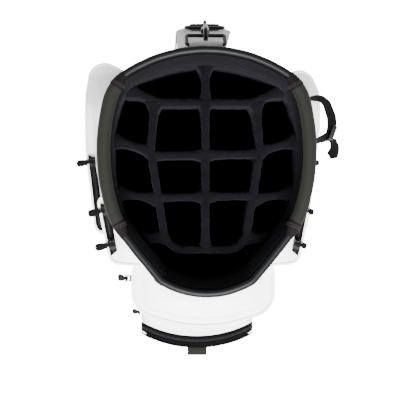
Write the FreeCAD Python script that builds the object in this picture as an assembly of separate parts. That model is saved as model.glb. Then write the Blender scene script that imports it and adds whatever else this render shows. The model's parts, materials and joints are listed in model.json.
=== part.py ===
"""Golf staff bag with a fifteen-way divided top, in millimetres.

Frame: origin at the centre of the sole's underside, +Z up, -Y the front with the ball pocket,
+Y the spine that carries the shoulder strap.  Every level, wall and offset is a named value.
"""
import FreeCAD, Part
import math
import os

from FreeCAD import Placement, Rotation, Vector

# ---------------------------------------------------------------- overall plan outline
# The plan outline is a chain of tangent arcs: (radius, normal angle where the arc ends), from the
# back centre (normal 90 deg) to the front centre (normal -90 deg).  The left half is its mirror.
# The last radius is worked out so that the chain closes on the centre line.
OUTLINE_BACK_Y = 145.0
OUTLINE_ARCS = [(173.0, 56.5), (56.0, 14.2), (238.0, -16.4)]
OUTLINE_ARCS += [(91.0, -37.8), (1750.0, -40.0), (25.0, -60.0)]
FRONT_NORMAL = -90.0

# ---------------------------------------------------------------- levels
SOLE_T = 6.0
BOOT_FLOOR_T = 4.0
BOOT_TOP_Z = 75.0
TRAY_T = 6.0
BODY_TOP_Z = 838.0
COLLAR_BOTTOM_Z = BODY_TOP_Z - 26.0
SADDLE_Z = BODY_TOP_Z + 20.0      # top of the collar wall below each handle
RIM_CENTRE_Z = SADDLE_Z + 35.0
GRID_TOP_Z = BODY_TOP_Z + 4.0
GRID_DEPTH = 68.0

# ---------------------------------------------------------------- walls, as offsets from the outline
BOOT_T = 4.0
SKIN_OUT = -3.0
SKIN_T = 3.0
LINER_T = 2.0
COLLAR_T = 9.0
RIM_R = 4.8
RIM_OFFSET = -RIM_R
LINING_T = 2.0
LINING_FOOT = 5.0               # how far out on the ring's top the lining's inner foot is sewn
RING_T = 9.0

# ---------------------------------------------------------------- handles
HANDLE_FROM = 47.0          # outline normal where the handle leaves the back rim
HANDLE_TO = -37.0           # and where it joins the front rim
CUFF_SPAN = 5.0
HANDLE_OFFSET = -7.6
LINING_NOTCH = (2.0, -22.0)     # offsets between which the lining is cut away beside each handle
BAR_R = 5.0
SLEEVE_R = 8.0
CUFF_R = 8.4

# ---------------------------------------------------------------- dividers
GRID_T = 9.0
SHEET_T = 2.4
BACK_DIVIDER_Y = 84.0
BACK_WING = (55.0, 97.0, 104.0)          # kink x, wing end x, wing end y
SHIELD_HALF = [(60.0, 84.0), (65.0, 26.0), (48.0, -76.0), (35.0, -91.0)]
CENTRE_BAR_Y = [22.0, -28.0]
SIDE_BARS = [((64.0, 26.0), (125.0, 44.0)), ((58.0, -30.0), (125.0, -21.0)), ((49.0, -75.0), (100.0, -85.0))]
CENTRE_BAR_REACH = 80.0
BACK_OVERRUN_Y = 160.0          # past the back wall, so that the centre divider is cut to meet it
SIDE_BAR_MIN_X = 55.0           # the side bars keep only what lies outside the shield
CRUMB_SHARE = 0.25              # offcuts smaller than this share of a panel are dropped

# ---------------------------------------------------------------- pockets: corners (x, y, corner radius)
FABRIC_T = 3.0
POCKET_FOOT_Z = BOOT_TOP_Z + 35.0
APPAREL_Z = (POCKET_FOOT_Z, BODY_TOP_Z - 198.0)
APPAREL_PLAN = [(88, 100, 0), (101, 130, 4), (138, 150, 20), (153, 75, 40)]
APPAREL_PLAN += [(151, 28, 20), (138, -82, 14), (98, -66, 0)]
SIDE_Z = (APPAREL_Z[1] + 16.0, BODY_TOP_Z - 38.0)
SIDE_PLAN = [(104, -18, 0), (129, -32, 8), (113, -108, 12), (76, -111, 0)]
BALL_Z = (POCKET_FOOT_Z, POCKET_FOOT_Z + 294.0)
FRONT_Z = (BALL_Z[1] + 32.0, BODY_TOP_Z - 96.0)
FRONT_PLAN = [(-40, -108, 0), (-88, -116, 6), (-88, -170, 30), (0, -198, 170)]
FRONT_PLAN += [(88, -170, 30), (88, -116, 6), (40, -108, 0)]
BALL_HALF_W = 82.0
BALL_REAR_Y = -100.0
BALL_FRONT_Y = -252.0
BALL_FRONT_R = 178.0
BALL_ZIP_W = 12.0
DOOR_T = 5.0
DOOR_GAP = 0.6
DOOR_TAB = (29.0, 9.0, 3.0)     # width, how far it stands out, thickness
DOOR_TAB_DROP = 8.0
ZIP_W = 10.0
ZIP_T = 1.2
ZIP_INSET = 1.0
APPAREL_TAPE_ENDS = (2.0, 16.0)     # how far each tape stops from its edge's rear and front corners
SIDE_TAPE_ENDS = (6.0, 8.0)
FRONT_TAPE_END = 30.0
APPAREL_SLIDER = 8.0            # how far each slider rests from the tape's rear or lower end
SIDE_SLIDERS = (8.0, 50.0)
FRONT_SLIDER = 10.0             # below its tape's upper end
BALL_SLIDER = 24.0
FLANK_ZIP_Y = -132.0

# ---------------------------------------------------------------- zip sliders and pulls
SLIDER_L, SLIDER_W, SLIDER_H = 13.0, 8.0, 3.6
SLIDER_LIFT = 0.3
SLIDER_CORNER = 1.2
EAR_T, EAR_L, EAR_TOP, EAR_CLEAR, EAR_SUNK = 1.4, 6.0, 10.2, 0.5, 0.5
BAIL_R, BAIL_H, EYE_CLEAR = 1.2, 8.6, 0.35
EYE_R, LINK_W, LINK_T, LINK_L = 3.0, 4.4, 2.2, 9.0
PULL_W, PULL_T, PULL_L = 9.0, 3.2, 19.0
PULL_LAP, PULL_CORNER = 2.0, 3.4
EDGE_PULL_DROP = 36.0       # degrees below level at which an edge pull rests
FLANK_PULL_LIFT = 25.0      # degrees out from the flank at which a flank pull rests

# ---------------------------------------------------------------- carrying strap hardware
WEB_W, WEB_T = 39.0, 2.2
RING_WIRE_R = 2.3
RING_W, RING_D, RING_CORNER = 50.0, 22.0, 3.0
LOOP_D, LOOP_CORNER = 20.6, 5.0
TAB_Z = (BODY_TOP_Z + 14.0, BOOT_TOP_Z + 147.0)
RING_TILT = 46.0
TAB_REACH = 150.6
TAB_TAIL = 34.0
WRAP_CLEAR = 0.3                # between a wire ring and the webbing or tab folded round it
HOOK_R, HOOK_WIRE_R, HOOK_LEG = 8.0, 3.0, 14.0
BARREL_R, BARREL_L, EYE_BOW_R, EYE_WIRE_R = 5.2, 11.0, 7.4, 2.2
STEM_R = 2.4
STEM_CLEAR = 0.3
HEAD_R, HEAD_T, HEAD_CLEAR = 3.6, 2.0, 0.5
BARREL_AT = HOOK_LEG + 3.0               # where the barrel and the stem's head start along the hook
HEAD_AT = HOOK_LEG + 5.0
EYE_CENTRE = BARREL_AT + BARREL_L + 3.0 + EYE_BOW_R
HOOK_BASE_L, HOOK_BASE_T, HOOK_BASE_RIM = 6.0, 5.0, 2.5
GATE_R, GATE_CLEAR = 1.1, 0.4
KNUCKLE_R, KNUCKLE_W = 1.9, 2.8
GATE_SLOT_W = 3.2
PIN_R, PIN_L, PIN_CLEAR = 0.8, 4.0, 0.25
UPPER_HOOK_DIR = (14.0, -37.0)
LOWER_HOOK_DIR = (10.0, 37.0)
STRAP_TILT = 80.0               # how steeply the loop rings hang from the swivel eyes
PAD_W, PAD_T = 70.0, 13.0
PAD_Z = (TAB_Z[1] + 108.0, TAB_Z[0] - 100.0)
PAD_TOP_Y = 180.6
PAD_BEND = (173.5, 560.0, 400.0)         # y, z and radius of the pad's bend round the spine
PAD_FOOT_OUT = 0.6
WEB_TOP_OUT = 1.0
WEB_END_DROP = 8.0
WRAP_W = 33.0                   # the webbing is folded narrower where it wraps a loop ring
WRAP_LINK = (2.0, 10.0)         # the stitched part of the wrap, near and far ends from the ring's bar

# ---------------------------------------------------------------- umbrella strap
LEASH_W, LEASH_T = 20.0, 2.0
LEASH_Z = BODY_TOP_Z - 4.0
LEASH_PATH = [(117.5, 88.0, 0), (142.0, 90.0, 14), (153.0, 60.0, 30), (147.0, 44.0, 6), (126.4, 36.0, 0)]
LEASH_TAIL = [(151.6, 40.6, 0), (155.0, 30.0, 12), (150.0, 17.0, 0)]
BUCKLE = (26.0, 18.0, 5.0)      # height, width, thickness
BUCKLE_SLOTS, BUCKLE_SLOT_W = (-7.0, 3.0), 4.0
BUCKLE_SHIFT, BUCKLE_TURN = (3.6, 3.0), -20.0
CRUMB_VOLUME = 200.0            # offcuts of the strap smaller than this are dropped

SNAP_R, SNAP_T = 6.0, 3.0
SNAP_ANGLES = [52.0, 128.0, -52.0, -128.0]
SCREW_R, SCREW_HEAD_R, SCREW_HEAD_T = 2.5, 5.0, 3.0
SCREW_CLEAR = 0.2
SCREW_AT = [(80.0, 70.0), (-80.0, 70.0), (55.0, -80.0), (-55.0, -80.0)]
STAY_R = 4.0
STAY_NORMALS = [100.0, 12.0, 168.0]


# ================================================================ plan outline helpers
def unit(angle):
    return Vector(math.cos(math.radians(angle)), math.sin(math.radians(angle)), 0)


def half_chain():
    """(centre, radius, start normal, end normal) of each arc of the right half."""
    radius, start = OUTLINE_ARCS[0][0], 90.0
    centre = Vector(0, OUTLINE_BACK_Y - radius, 0)
    chain = []
    for index, (radius, end) in enumerate(OUTLINE_ARCS):
        chain.append((centre, radius, start, end))
        if index + 1 < len(OUTLINE_ARCS):
            following = OUTLINE_ARCS[index + 1][0]
        else:
            following = radius + centre.x / unit(end).x
        centre = centre + unit(end) * (radius - following)
        start = end
    chain.append((centre, following, start, FRONT_NORMAL))
    return chain


CHAIN = half_chain()


def full_chain():
    """The arcs of the whole outline, clockwise from normal 90 to -270 degrees."""
    mirrored = [(Vector(-c.x, c.y, 0), r, -180.0 - b, -180.0 - a) for c, r, a, b in reversed(CHAIN)]
    return CHAIN + mirrored


def on_outline(normal, offset=0.0, z=0.0):
    """The outline's point with that outward normal, moved out by the offset."""
    wanted = (normal - 90.0) % -360.0 + 90.0
    for centre, radius, start, end in full_chain():
        if end <= wanted <= start:
            point = centre + unit(wanted) * (radius + offset)
            return Vector(point.x, point.y, z)
    raise ValueError("no arc has that normal")


def arc_edges(offset, z, first, last):
    """Edges along the offset outline from normal first down to normal last."""
    edges = []
    for turn in (360.0, 0.0, -360.0):
        for centre, radius, start, end in full_chain():
            a, b = min(start + turn, first), max(end + turn, last)
            if a - b < 1e-6:
                continue
            points = [centre + unit(g) * (radius + offset) for g in (a, (a + b) / 2, b)]
            points = [Vector(p.x, p.y, z) for p in points]
            edges.append(Part.Arc(*points).toShape())
    return edges


def outline_wire(offset, z):
    return Part.Wire(arc_edges(offset, z, 90.0, -270.0))


def disc(offset, z0, z1):
    """The solid inside the offset outline between two levels."""
    return Part.Face(outline_wire(offset, z0)).extrude(Vector(0, 0, z1 - z0))


def tube(outer, inner, z0, z1):
    """The wall between two offset outlines, from one level to another."""
    return disc(outer, z0, z1).cut(disc(inner, z0, z1))


def sector(outer, inner, first, last, z0, z1):
    """A stretch of wall between two offsets, from normal first down to normal last."""
    outside = arc_edges(outer, z0, first, last)
    inside = arc_edges(inner, z0, first, last)
    side_a = Part.makeLine(on_outline(first, outer, z0), on_outline(first, inner, z0))
    side_b = Part.makeLine(on_outline(last, outer, z0), on_outline(last, inner, z0))
    wire = Part.Wire(Part.__sortEdges__(outside + inside + [side_a, side_b]))
    return Part.Face(wire).extrude(Vector(0, 0, z1 - z0))


def rod_along(offset, z, radius, first, last):
    """A round bar that follows the offset outline, made of torus segments."""
    pieces = []
    for centre, arc_radius, start, end in full_chain():
        for turn in (360.0, 0.0, -360.0):
            a, b = min(start + turn, first), max(end + turn, last)
            if a - b < 1e-6:
                continue
            at = centre + unit(a) * (arc_radius + offset)
            tangent = Vector(-unit(a).y, unit(a).x, 0)
            face = Part.Face(Part.Wire(Part.makeCircle(radius, Vector(at.x, at.y, z), tangent)))
            pieces.append(face.revolve(Vector(centre.x, centre.y, z), Vector(0, 0, 1), b - a))
    return fuse(pieces)


def fuse(pieces):
    whole = pieces[0]
    if len(pieces) > 1:
        whole = whole.fuse(pieces[1:])
    return whole.removeSplitter()


# ================================================================ polygon helpers
def corner_edges(points, closed):
    """Straight edges with tangent corner arcs through (x, y, corner radius) points in the XY plane."""
    count = len(points)
    entries, exits, arcs = [], [], []
    for i, (x, y, r) in enumerate(points):
        here = Vector(x, y, 0)
        if r <= 0 or (not closed and i in (0, count - 1)):
            entries.append(here)
            exits.append(here)
            arcs.append(None)
            continue
        before = Vector(*points[i - 1][:2], 0) - here
        after = Vector(*points[(i + 1) % count][:2], 0) - here
        before.normalize()
        after.normalize()
        half = before.getAngle(after) / 2
        reach = r / math.tan(half)
        middle = before + after
        middle.normalize()
        centre = here + middle * (r / math.sin(half))
        entries.append(here + before * reach)
        exits.append(here + after * reach)
        arcs.append(Part.Arc(entries[-1], centre - middle * r, exits[-1]).toShape())
    edges = []
    for i in range(count):
        if arcs[i] is not None:
            edges.append(arcs[i])
        if i + 1 < count or closed:
            a, b = exits[i], entries[(i + 1) % count]
            if (b - a).Length > 1e-6:
                edges.append(Part.makeLine(a, b))
    return edges


def polygon_face(points):
    return Part.Face(Part.Wire(corner_edges(points, True)))


def shifted(points, distance):
    """An open path moved sideways, with each corner radius following."""
    moved = []
    for i, (x, y, r) in enumerate(points):
        here = Vector(x, y, 0)
        normals = []
        for j in (i - 1, i):
            if 0 <= j < len(points) - 1:
                run = Vector(*points[j + 1][:2], 0) - Vector(*points[j][:2], 0)
                run.normalize()
                normals.append(Vector(-run.y, run.x, 0))
        if len(normals) == 1:
            step, turn = normals[0], 0.0
        else:
            step = (normals[0] + normals[1]) * (1.0 / (1.0 + normals[0].dot(normals[1])))
            turn = normals[0].cross(normals[1]).z
        at = here + step * distance
        moved.append((at.x, at.y, r - math.copysign(distance, turn) if r else 0))
    return moved


def strip_face(points, thickness):
    """A band of even thickness along an open path."""
    left = corner_edges(shifted(points, thickness / 2), False)
    right = corner_edges(shifted(points, -thickness / 2), False)
    ends = [Part.makeLine(left[0].Vertexes[0].Point, right[0].Vertexes[0].Point)]
    ends.append(Part.makeLine(left[-1].Vertexes[-1].Point, right[-1].Vertexes[-1].Point))
    return Part.Face(Part.Wire(Part.__sortEdges__(left + right + ends)))


SIDE_PLANE = Placement(Vector(0, 0, 0), Rotation(Vector(0, 1, 0), Vector(0, 0, 1), Vector(1, 0, 0)))


def side_profile(face, width):
    """A face drawn as (y, z) becomes a solid of that width, centred on x = 0."""
    solid = face.extrude(Vector(0, 0, width))
    solid.translate(Vector(0, 0, -width / 2))
    solid.Placement = SIDE_PLANE.multiply(solid.Placement)
    return solid


def largest(shape):
    return max(shape.Solids, key=lambda s: s.Volume)


def mirrored(shape):
    return shape.mirror(Vector(0, 0, 0), Vector(1, 0, 0))


NODES = {}


def keep(name, *solids):
    """Stores a node's solids for export."""
    loose = []
    for solid in solids:
        loose.extend(solid.Solids)
    NODES[name] = Part.makeCompound(loose) if len(loose) > 1 else loose[0]
    return NODES[name]


# ================================================================ base
def screw_cuts(extra, z0, z1, radius):
    return [Part.makeCylinder(radius + extra, z1 - z0, Vector(x, y, z0)) for x, y in SCREW_AT]


def build_base():
    boot_bottom = SOLE_T
    tray_bottom = SOLE_T + BOOT_FLOOR_T
    tray_top = tray_bottom + TRAY_T
    head_bottom = SOLE_T - SCREW_HEAD_T
    sole = disc(SKIN_OUT + BOOT_T, 0, SOLE_T)
    sole = sole.cut(screw_cuts(SCREW_CLEAR, 0, SOLE_T, SCREW_HEAD_R))
    keep("base_sole", sole)
    boot = disc(SKIN_OUT + BOOT_T, boot_bottom, BOOT_TOP_Z).cut(disc(SKIN_OUT, tray_bottom, BOOT_TOP_Z))
    boot = boot.cut(screw_cuts(SCREW_CLEAR, boot_bottom, tray_bottom, SCREW_R))
    keep("base_boot", boot)
    inner = SKIN_OUT - SKIN_T - LINER_T
    tray = disc(inner, tray_bottom, tray_top).cut(screw_cuts(0, tray_bottom, tray_top, SCREW_R))
    keep("base_tray", tray)
    screws = []
    for x, y in SCREW_AT:
        head = Part.makeCylinder(SCREW_HEAD_R, SCREW_HEAD_T, Vector(x, y, head_bottom))
        shank = Part.makeCylinder(SCREW_R, tray_top - SOLE_T, Vector(x, y, SOLE_T))
        screws.append(head.fuse(shank).removeSplitter())
    keep("base_screws", *screws)
    return tray_bottom, tray_top


# ================================================================ body
def build_body(floor_z, tray_top):
    keep("body_skin", tube(SKIN_OUT, SKIN_OUT - SKIN_T, floor_z, BODY_TOP_Z))
    liner_out = SKIN_OUT - SKIN_T
    keep("body_liner", tube(liner_out, liner_out - LINER_T, floor_z, BODY_TOP_Z))
    return liner_out - LINER_T


# ================================================================ collar and handles
def upper_wall(first, last):
    """The tall part of the collar between two handles, with a round bead along its top."""
    wall = sector(-1.0, -COLLAR_T + 1.0, first, last, SADDLE_Z, RIM_CENTRE_Z)
    bead = rod_along(RIM_OFFSET, RIM_CENTRE_Z, RIM_R, first, last)
    return fuse([wall, bead])


def build_collar():
    skirt = tube(0, SKIN_OUT, COLLAR_BOTTOM_Z, BODY_TOP_Z)
    shelf = tube(0, -COLLAR_T, BODY_TOP_Z, SADDLE_Z)
    back = upper_wall(180.0 - HANDLE_FROM, HANDLE_FROM)
    front = upper_wall(HANDLE_TO, -180.0 - HANDLE_TO)
    keep("top_collar", fuse([skirt, shelf, back, front]))
    ring_out = -COLLAR_T
    grid_bottom = GRID_TOP_Z - GRID_DEPTH
    keep("divider_ring", tube(ring_out, ring_out - RING_T, grid_bottom, GRID_TOP_Z))
    lining_top = RIM_CENTRE_Z - 4.0
    funnel = []
    for step in (0.0, LINING_T):
        top = outline_wire(-COLLAR_T + 0.8 - step, lining_top)
        foot = outline_wire(ring_out - RING_T + LINING_FOOT - step, GRID_TOP_Z)
        funnel.append(Part.makeLoft([top, foot], True))
    outer, inner = funnel
    lining = outer.cut(inner).cut(NODES["top_collar"])
    for side in (1, -1):
        notch = sector(*LINING_NOTCH, HANDLE_FROM, HANDLE_TO, SADDLE_Z, RIM_CENTRE_Z + RIM_R)
        if side < 0:
            notch = mirrored(notch)
        lining = lining.cut(notch)
    keep("collar_lining", largest(lining))
    return ring_out - RING_T


def build_handles():
    bar = rod_at_rim(BAR_R, HANDLE_FROM, HANDLE_TO)
    stretches = [(SLEEVE_R, HANDLE_FROM - CUFF_SPAN, HANDLE_TO + CUFF_SPAN)]
    stretches.append((CUFF_R, HANDLE_FROM, HANDLE_FROM - CUFF_SPAN))
    stretches.append((CUFF_R, HANDLE_TO + CUFF_SPAN, HANDLE_TO))
    sleeve, *cuffs = [rod_at_rim(*stretch).cut(bar) for stretch in stretches]
    keep("handle_bars", bar, mirrored(bar))
    keep("handle_sleeves", sleeve, mirrored(sleeve))
    keep("handle_cuffs", *cuffs, *[mirrored(cuff) for cuff in cuffs])


def rod_at_rim(radius, first, last):
    return rod_along(HANDLE_OFFSET, RIM_CENTRE_Z, radius, first, last)


# ================================================================ dividers
def panel(p, q, thickness, z0, z1, overrun=0.0):
    """An upright panel between two plan points, run past both ends by the overrun."""
    a, b = Vector(*p, 0), Vector(*q, 0)
    along = b - a
    length = along.Length
    along.normalize()
    box = Part.makeBox(length + 2 * overrun, thickness, z1 - z0, Vector(-overrun, -thickness / 2, z0))
    turn = math.degrees(math.atan2(along.y, along.x))
    box.Placement = Placement(Vector(a.x, a.y, 0), Rotation(Vector(0, 0, 1), turn))
    return box


def both_sides(segments):
    """The segments and their mirror images on the left."""
    return segments + [((-p[0], p[1]), (-q[0], q[1])) for p, q in segments]


def divider_plan():
    """Name, panels as plan segments, in the order in which each is cut by the ones before it."""
    kink, wing_x, wing_y = BACK_WING
    y = BACK_DIVIDER_Y
    low_x, low_y = SHIELD_HALF[-1]
    shield = both_sides(list(zip(SHIELD_HALF, SHIELD_HALF[1:])))
    back = [((-kink, y), (kink, y))] + both_sides([((kink, y), (wing_x, wing_y))])
    front = [((-low_x, low_y), (low_x, low_y))]
    centre = [((0, y), (0, BACK_OVERRUN_Y)), ((0, y), (0, low_y))]
    bars = both_sides([((0, at), (CENTRE_BAR_REACH, at)) for at in CENTRE_BAR_Y])
    plan = [("back_divider", back), ("shield_divider", front + shield), ("centre_divider", centre)]
    return plan + [("centre_crossbars", bars), ("outer_crossbars", both_sides(SIDE_BARS))]


def shield_inside(z0, z1):
    ring = [(x, y, 0) for x, y in SHIELD_HALF] + [(-x, y, 0) for x, y in reversed(SHIELD_HALF)]
    return polygon_face(ring).extrude(Vector(0, 0, z1 - z0)).translated(Vector(0, 0, z0))


def worth_keeping(name, solid, cut):
    """Leaves out offcuts, and the ends of the side bars that reach into the shield."""
    if solid.Volume <= CRUMB_SHARE * max(s.Volume for s in cut.Solids):
        return False
    return name != "outer_crossbars" or abs(solid.CenterOfMass.x) > SIDE_BAR_MIN_X


def divider_set(thickness, z0, z1, edge):
    """Every divider between two levels, by name, each panel cut by the ones before it and by the wall."""
    room = disc(edge, z0, z1)
    inside = shield_inside(z0, z1)
    done, by_name = [], {}
    for name, segments in divider_plan():
        overrun = thickness / 2 if name in ("back_divider", "shield_divider") else 0.0
        by_name[name] = []
        for p, q in segments:
            piece = panel(p, q, thickness, z0, z1, overrun).common(room)
            if name == "centre_crossbars":
                piece = piece.common(inside)
            if done:
                piece = piece.cut(done)
            kept = [solid for solid in piece.Solids if worth_keeping(name, solid, piece)]
            by_name[name].extend(kept)
            done.extend(kept)
    return by_name


def build_dividers(ring_in, liner_in, tray_top):
    grid_bottom = GRID_TOP_Z - GRID_DEPTH
    for name, solids in divider_set(GRID_T, grid_bottom, GRID_TOP_Z, ring_in).items():
        keep(name, *solids)
    sheets = divider_set(SHEET_T, tray_top, grid_bottom, liner_in)
    keep("divider_sheets", *[solid for solids in sheets.values() for solid in solids])


# ================================================================ pockets
def pouch(plan, levels, body):
    """A fabric shell over the body's side: outer walls, floor and roof, open only to the body."""
    z0, z1 = levels
    face = polygon_face(plan)
    outer = face.extrude(Vector(0, 0, z1 - z0)).translated(Vector(0, 0, z0))
    inner = face.makeOffset2D(-FABRIC_T).extrude(Vector(0, 0, z1 - z0 - 2 * FABRIC_T))
    inner.translate(Vector(0, 0, z0 + FABRIC_T))
    return largest(outer.cut(inner).cut(body))


def build_pockets():
    body = disc(SKIN_OUT, 0, BODY_TOP_Z)
    for name, plan, levels in (("apparel", APPAREL_PLAN, APPAREL_Z), ("side", SIDE_PLAN, SIDE_Z)):
        right = pouch(plan, levels, body)
        keep("right_%s_pocket" % name, right)
        keep("left_%s_pocket" % name, mirrored(right))
    keep("front_pocket", pouch(FRONT_PLAN, FRONT_Z, body))
    build_ball_pocket(body)


def ball_round(radius, z0, z1):
    """The upright cylinder that the ball pocket's curved front is part of."""
    return Part.makeCylinder(radius, z1 - z0, Vector(0, BALL_FRONT_Y + BALL_FRONT_R, z0))


def ball_block(half_width, radius, z0, z1):
    """The pocket's full block out to a radius of its curved front."""
    box = Part.makeBox(2 * half_width, 300.0, z1 - z0, Vector(-half_width, BALL_REAR_Y - 300.0, z0))
    return box.common(ball_round(radius, z0, z1))


def build_ball_pocket(body):
    z0, z1 = BALL_Z
    mouth_r = BALL_FRONT_R - DOOR_T - DOOR_GAP
    block = ball_block(BALL_HALF_W, mouth_r, z0, z1)
    hollow = ball_block(BALL_HALF_W - FABRIC_T, mouth_r + 10.0, z0 + FABRIC_T, z1 - FABRIC_T)
    keep("ball_pocket", largest(block.cut(hollow).cut(body)))

    plate = ball_block(BALL_HALF_W, BALL_FRONT_R, z0, z1).cut(ball_round(BALL_FRONT_R - DOOR_T, z0, z1))
    keep("ball_pocket_door", largest(plate))
    width, stand_out, thick = DOOR_TAB
    tab_box = Vector(-width / 2, BALL_FRONT_Y - stand_out, z1 - DOOR_TAB_DROP)
    tab = Part.makeBox(width, stand_out + 10.0, thick, tab_box)
    keep("ball_door_tab", largest(tab.cut(ball_round(BALL_FRONT_R, z0, z1))))

    wide = ball_block(BALL_HALF_W + ZIP_T, mouth_r, z0, z1 + ZIP_T)
    wide = wide.cut(ball_round(mouth_r - BALL_ZIP_W, z0, z1 + ZIP_T))
    keep("ball_pocket_zip", largest(wide.cut(ball_block(BALL_HALF_W, mouth_r + 1.0, z0, z1))))


# ================================================================ zips
def upright_edges(shape):
    return [e for e in shape.Edges if abs(e.tangentAt(e.FirstParameter).z) > 0.9]


def slider_solid(across):
    """The slider on its tape: body, two ears and the bail bar between them."""
    body = Part.makeBox(SLIDER_L, SLIDER_W, SLIDER_H, Vector(-SLIDER_L / 2, -SLIDER_W / 2, SLIDER_LIFT))
    body = body.makeFillet(SLIDER_CORNER, upright_edges(body))
    gap = LINK_W / 2 + EAR_CLEAR
    foot = SLIDER_H + SLIDER_LIFT - EAR_SUNK
    bail = []
    for at in (gap, -gap - EAR_T):
        bail.append(Part.makeBox(EAR_L, EAR_T, EAR_TOP - foot, Vector(-EAR_L / 2, at, foot)))
    reach = gap + EAR_T / 2
    bail.append(Part.makeCylinder(BAIL_R, 2 * reach, Vector(0, -reach, BAIL_H), Vector(0, 1, 0)))
    bail = fuse(bail)
    if across:
        bail.rotate(Vector(0, 0, 0), Vector(0, 0, 1), 90)
    return fuse([body, bail])


def pull_solid(across, drop):
    """The pull on the bail bar, lying towards -x and dropped by an angle; hung sideways if across."""
    eye = Part.makeCylinder(EYE_R, LINK_W, Vector(0, -LINK_W / 2, BAIL_H), Vector(0, 1, 0))
    hole_r = BAIL_R + EYE_CLEAR
    hole = Part.makeCylinder(hole_r, LINK_W + 2, Vector(0, -LINK_W / 2 - 1, BAIL_H), Vector(0, 1, 0))
    link = Part.makeBox(LINK_L, LINK_W, LINK_T, Vector(-LINK_L, -LINK_W / 2, BAIL_H - LINK_T / 2))
    far_end = -LINK_L - PULL_L + PULL_LAP
    tab = Part.makeBox(PULL_L, PULL_W, PULL_T, Vector(far_end, -PULL_W / 2, BAIL_H - PULL_T / 2))
    tab = tab.makeFillet(PULL_CORNER, upright_edges(tab))
    pull = fuse([eye, link, tab]).cut(hole)
    pull.rotate(Vector(0, 0, BAIL_H), Vector(0, 1, 0), -drop)
    if across:
        pull.rotate(Vector(0, 0, 0), Vector(0, 0, 1), 90 * across)
    return pull


def place(shape, placement):
    shape = shape.copy()
    shape.Placement = placement.multiply(shape.Placement)
    return shape


def edge_zip(p, q, roof_z, side, sliders):
    """A tape along a roof edge from p (rear) to q (front), with each named slider at its distance from p."""
    a, b = Vector(*p, roof_z), Vector(*q, roof_z)
    along = b - a
    length = along.Length
    along.normalize()
    across = Vector(0, 0, 1).cross(along)
    inset = across * (-side * (ZIP_INSET + ZIP_W / 2))
    rotation = Rotation(along, across, Vector(0, 0, 1), "XZY")
    for name, distance in sliders:
        spot = Placement(a + inset + along * distance + Vector(0, 0, ZIP_T), rotation)
        keep(name + "_slider", place(slider_solid(1), spot))
        keep(name + "_pull", place(pull_solid(-side, EDGE_PULL_DROP), spot))
    tape = Part.makeBox(length, ZIP_W, ZIP_T, Vector(0, -ZIP_W / 2, 0))
    return place(tape, Placement(a + inset, rotation))


def flank_zip(name, foot, side, reach):
    """The slider of an upright tape on a pocket's left (-1) or right (1) flank, that far above the foot."""
    up, out = Vector(0, 0, 1), Vector(side, 0, 0)
    spot = Placement(foot + up * reach + out * ZIP_T, Rotation(up, out.cross(up), out, "XZY"))
    keep(name + "_slider", place(slider_solid(0), spot))
    keep(name + "_pull", place(pull_solid(0, -FLANK_PULL_LIFT), spot))


def build_zips():
    tapes = []
    for side, label in ((1, "right"), (-1, "left")):
        corner, far = APPAREL_PLAN[4], APPAREL_PLAN[5]
        p = toward(corner, far, APPAREL_TAPE_ENDS[0], side)
        q = toward(far, corner, APPAREL_TAPE_ENDS[1], side)
        tapes.append(edge_zip(p, q, APPAREL_Z[1], side, [(label + "_apparel", APPAREL_SLIDER)]))
        corner, far = SIDE_PLAN[1], SIDE_PLAN[2]
        p = toward(corner, far, SIDE_TAPE_ENDS[0], side)
        q = toward(far, corner, SIDE_TAPE_ENDS[1], side)
        names = (label + "_side_rear", label + "_side_front")
        tapes.append(edge_zip(p, q, SIDE_Z[1], side, list(zip(names, SIDE_SLIDERS))))
    keep("side_zip_tapes", *tapes)
    build_front_zip()
    mouth_r = BALL_FRONT_R - DOOR_T - DOOR_GAP
    mouth_y = BALL_FRONT_Y + BALL_FRONT_R - math.sqrt(mouth_r ** 2 - BALL_HALF_W ** 2)
    foot = Vector(-BALL_HALF_W, mouth_y + BALL_ZIP_W / 2, BALL_Z[0])
    flank_zip("ball_pocket", foot, -1, BALL_SLIDER)


def build_front_zip():
    """The two upright tapes on the front pocket's flanks, and the left one's slider."""
    z0, z1 = FRONT_Z[0] + FRONT_TAPE_END, FRONT_Z[1] - FRONT_TAPE_END
    flank_x = FRONT_PLAN[-2][0]
    tapes = []
    for x in (flank_x, -flank_x - ZIP_T):
        tapes.append(Part.makeBox(ZIP_T, ZIP_W, z1 - z0, Vector(x, FLANK_ZIP_Y - ZIP_W / 2, z0)))
    keep("front_pocket_zip", *tapes)
    flank_zip("front_pocket", Vector(-flank_x, FLANK_ZIP_Y, z0), -1, z1 - z0 - FRONT_SLIDER)


def toward(p, q, distance, side):
    """The point that far from p towards q, on the right or mirrored to the left."""
    a, b = Vector(p[0] * side, p[1], 0), Vector(q[0] * side, q[1], 0)
    step = b - a
    step.normalize()
    at = a + step * distance
    return at.x, at.y


# ================================================================ strap hardware
def torus_ring(width, depth, wire, corner):
    """A rounded rectangular wire ring in the XY plane, its rear bar on the x axis."""
    hw = width / 2 - wire
    reach = depth - 2 * wire
    pieces = []
    bars = [(-hw + corner, 0, hw - corner, 0), (-hw + corner, reach, hw - corner, reach)]
    bars += [(-hw, corner, -hw, reach - corner), (hw, corner, hw, reach - corner)]
    for x0, y0, x1, y1 in bars:
        run = Vector(x1 - x0, y1 - y0, 0)
        pieces.append(Part.makeCylinder(wire, run.Length, Vector(x0, y0, 0), run))
    corners = [(hw - corner, corner, -90), (hw - corner, reach - corner, 0)]
    corners += [(-hw + corner, reach - corner, 90), (-hw + corner, corner, 180)]
    for cx, cy, start in corners:
        at = Vector(cx, cy, 0) + unit(start) * corner
        circle = Part.Face(Part.Wire(Part.makeCircle(wire, at, Vector(-unit(start).y, unit(start).x, 0))))
        pieces.append(circle.revolve(Vector(cx, cy, 0), Vector(0, 0, 1), 90))
    return fuse(pieces)


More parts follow.
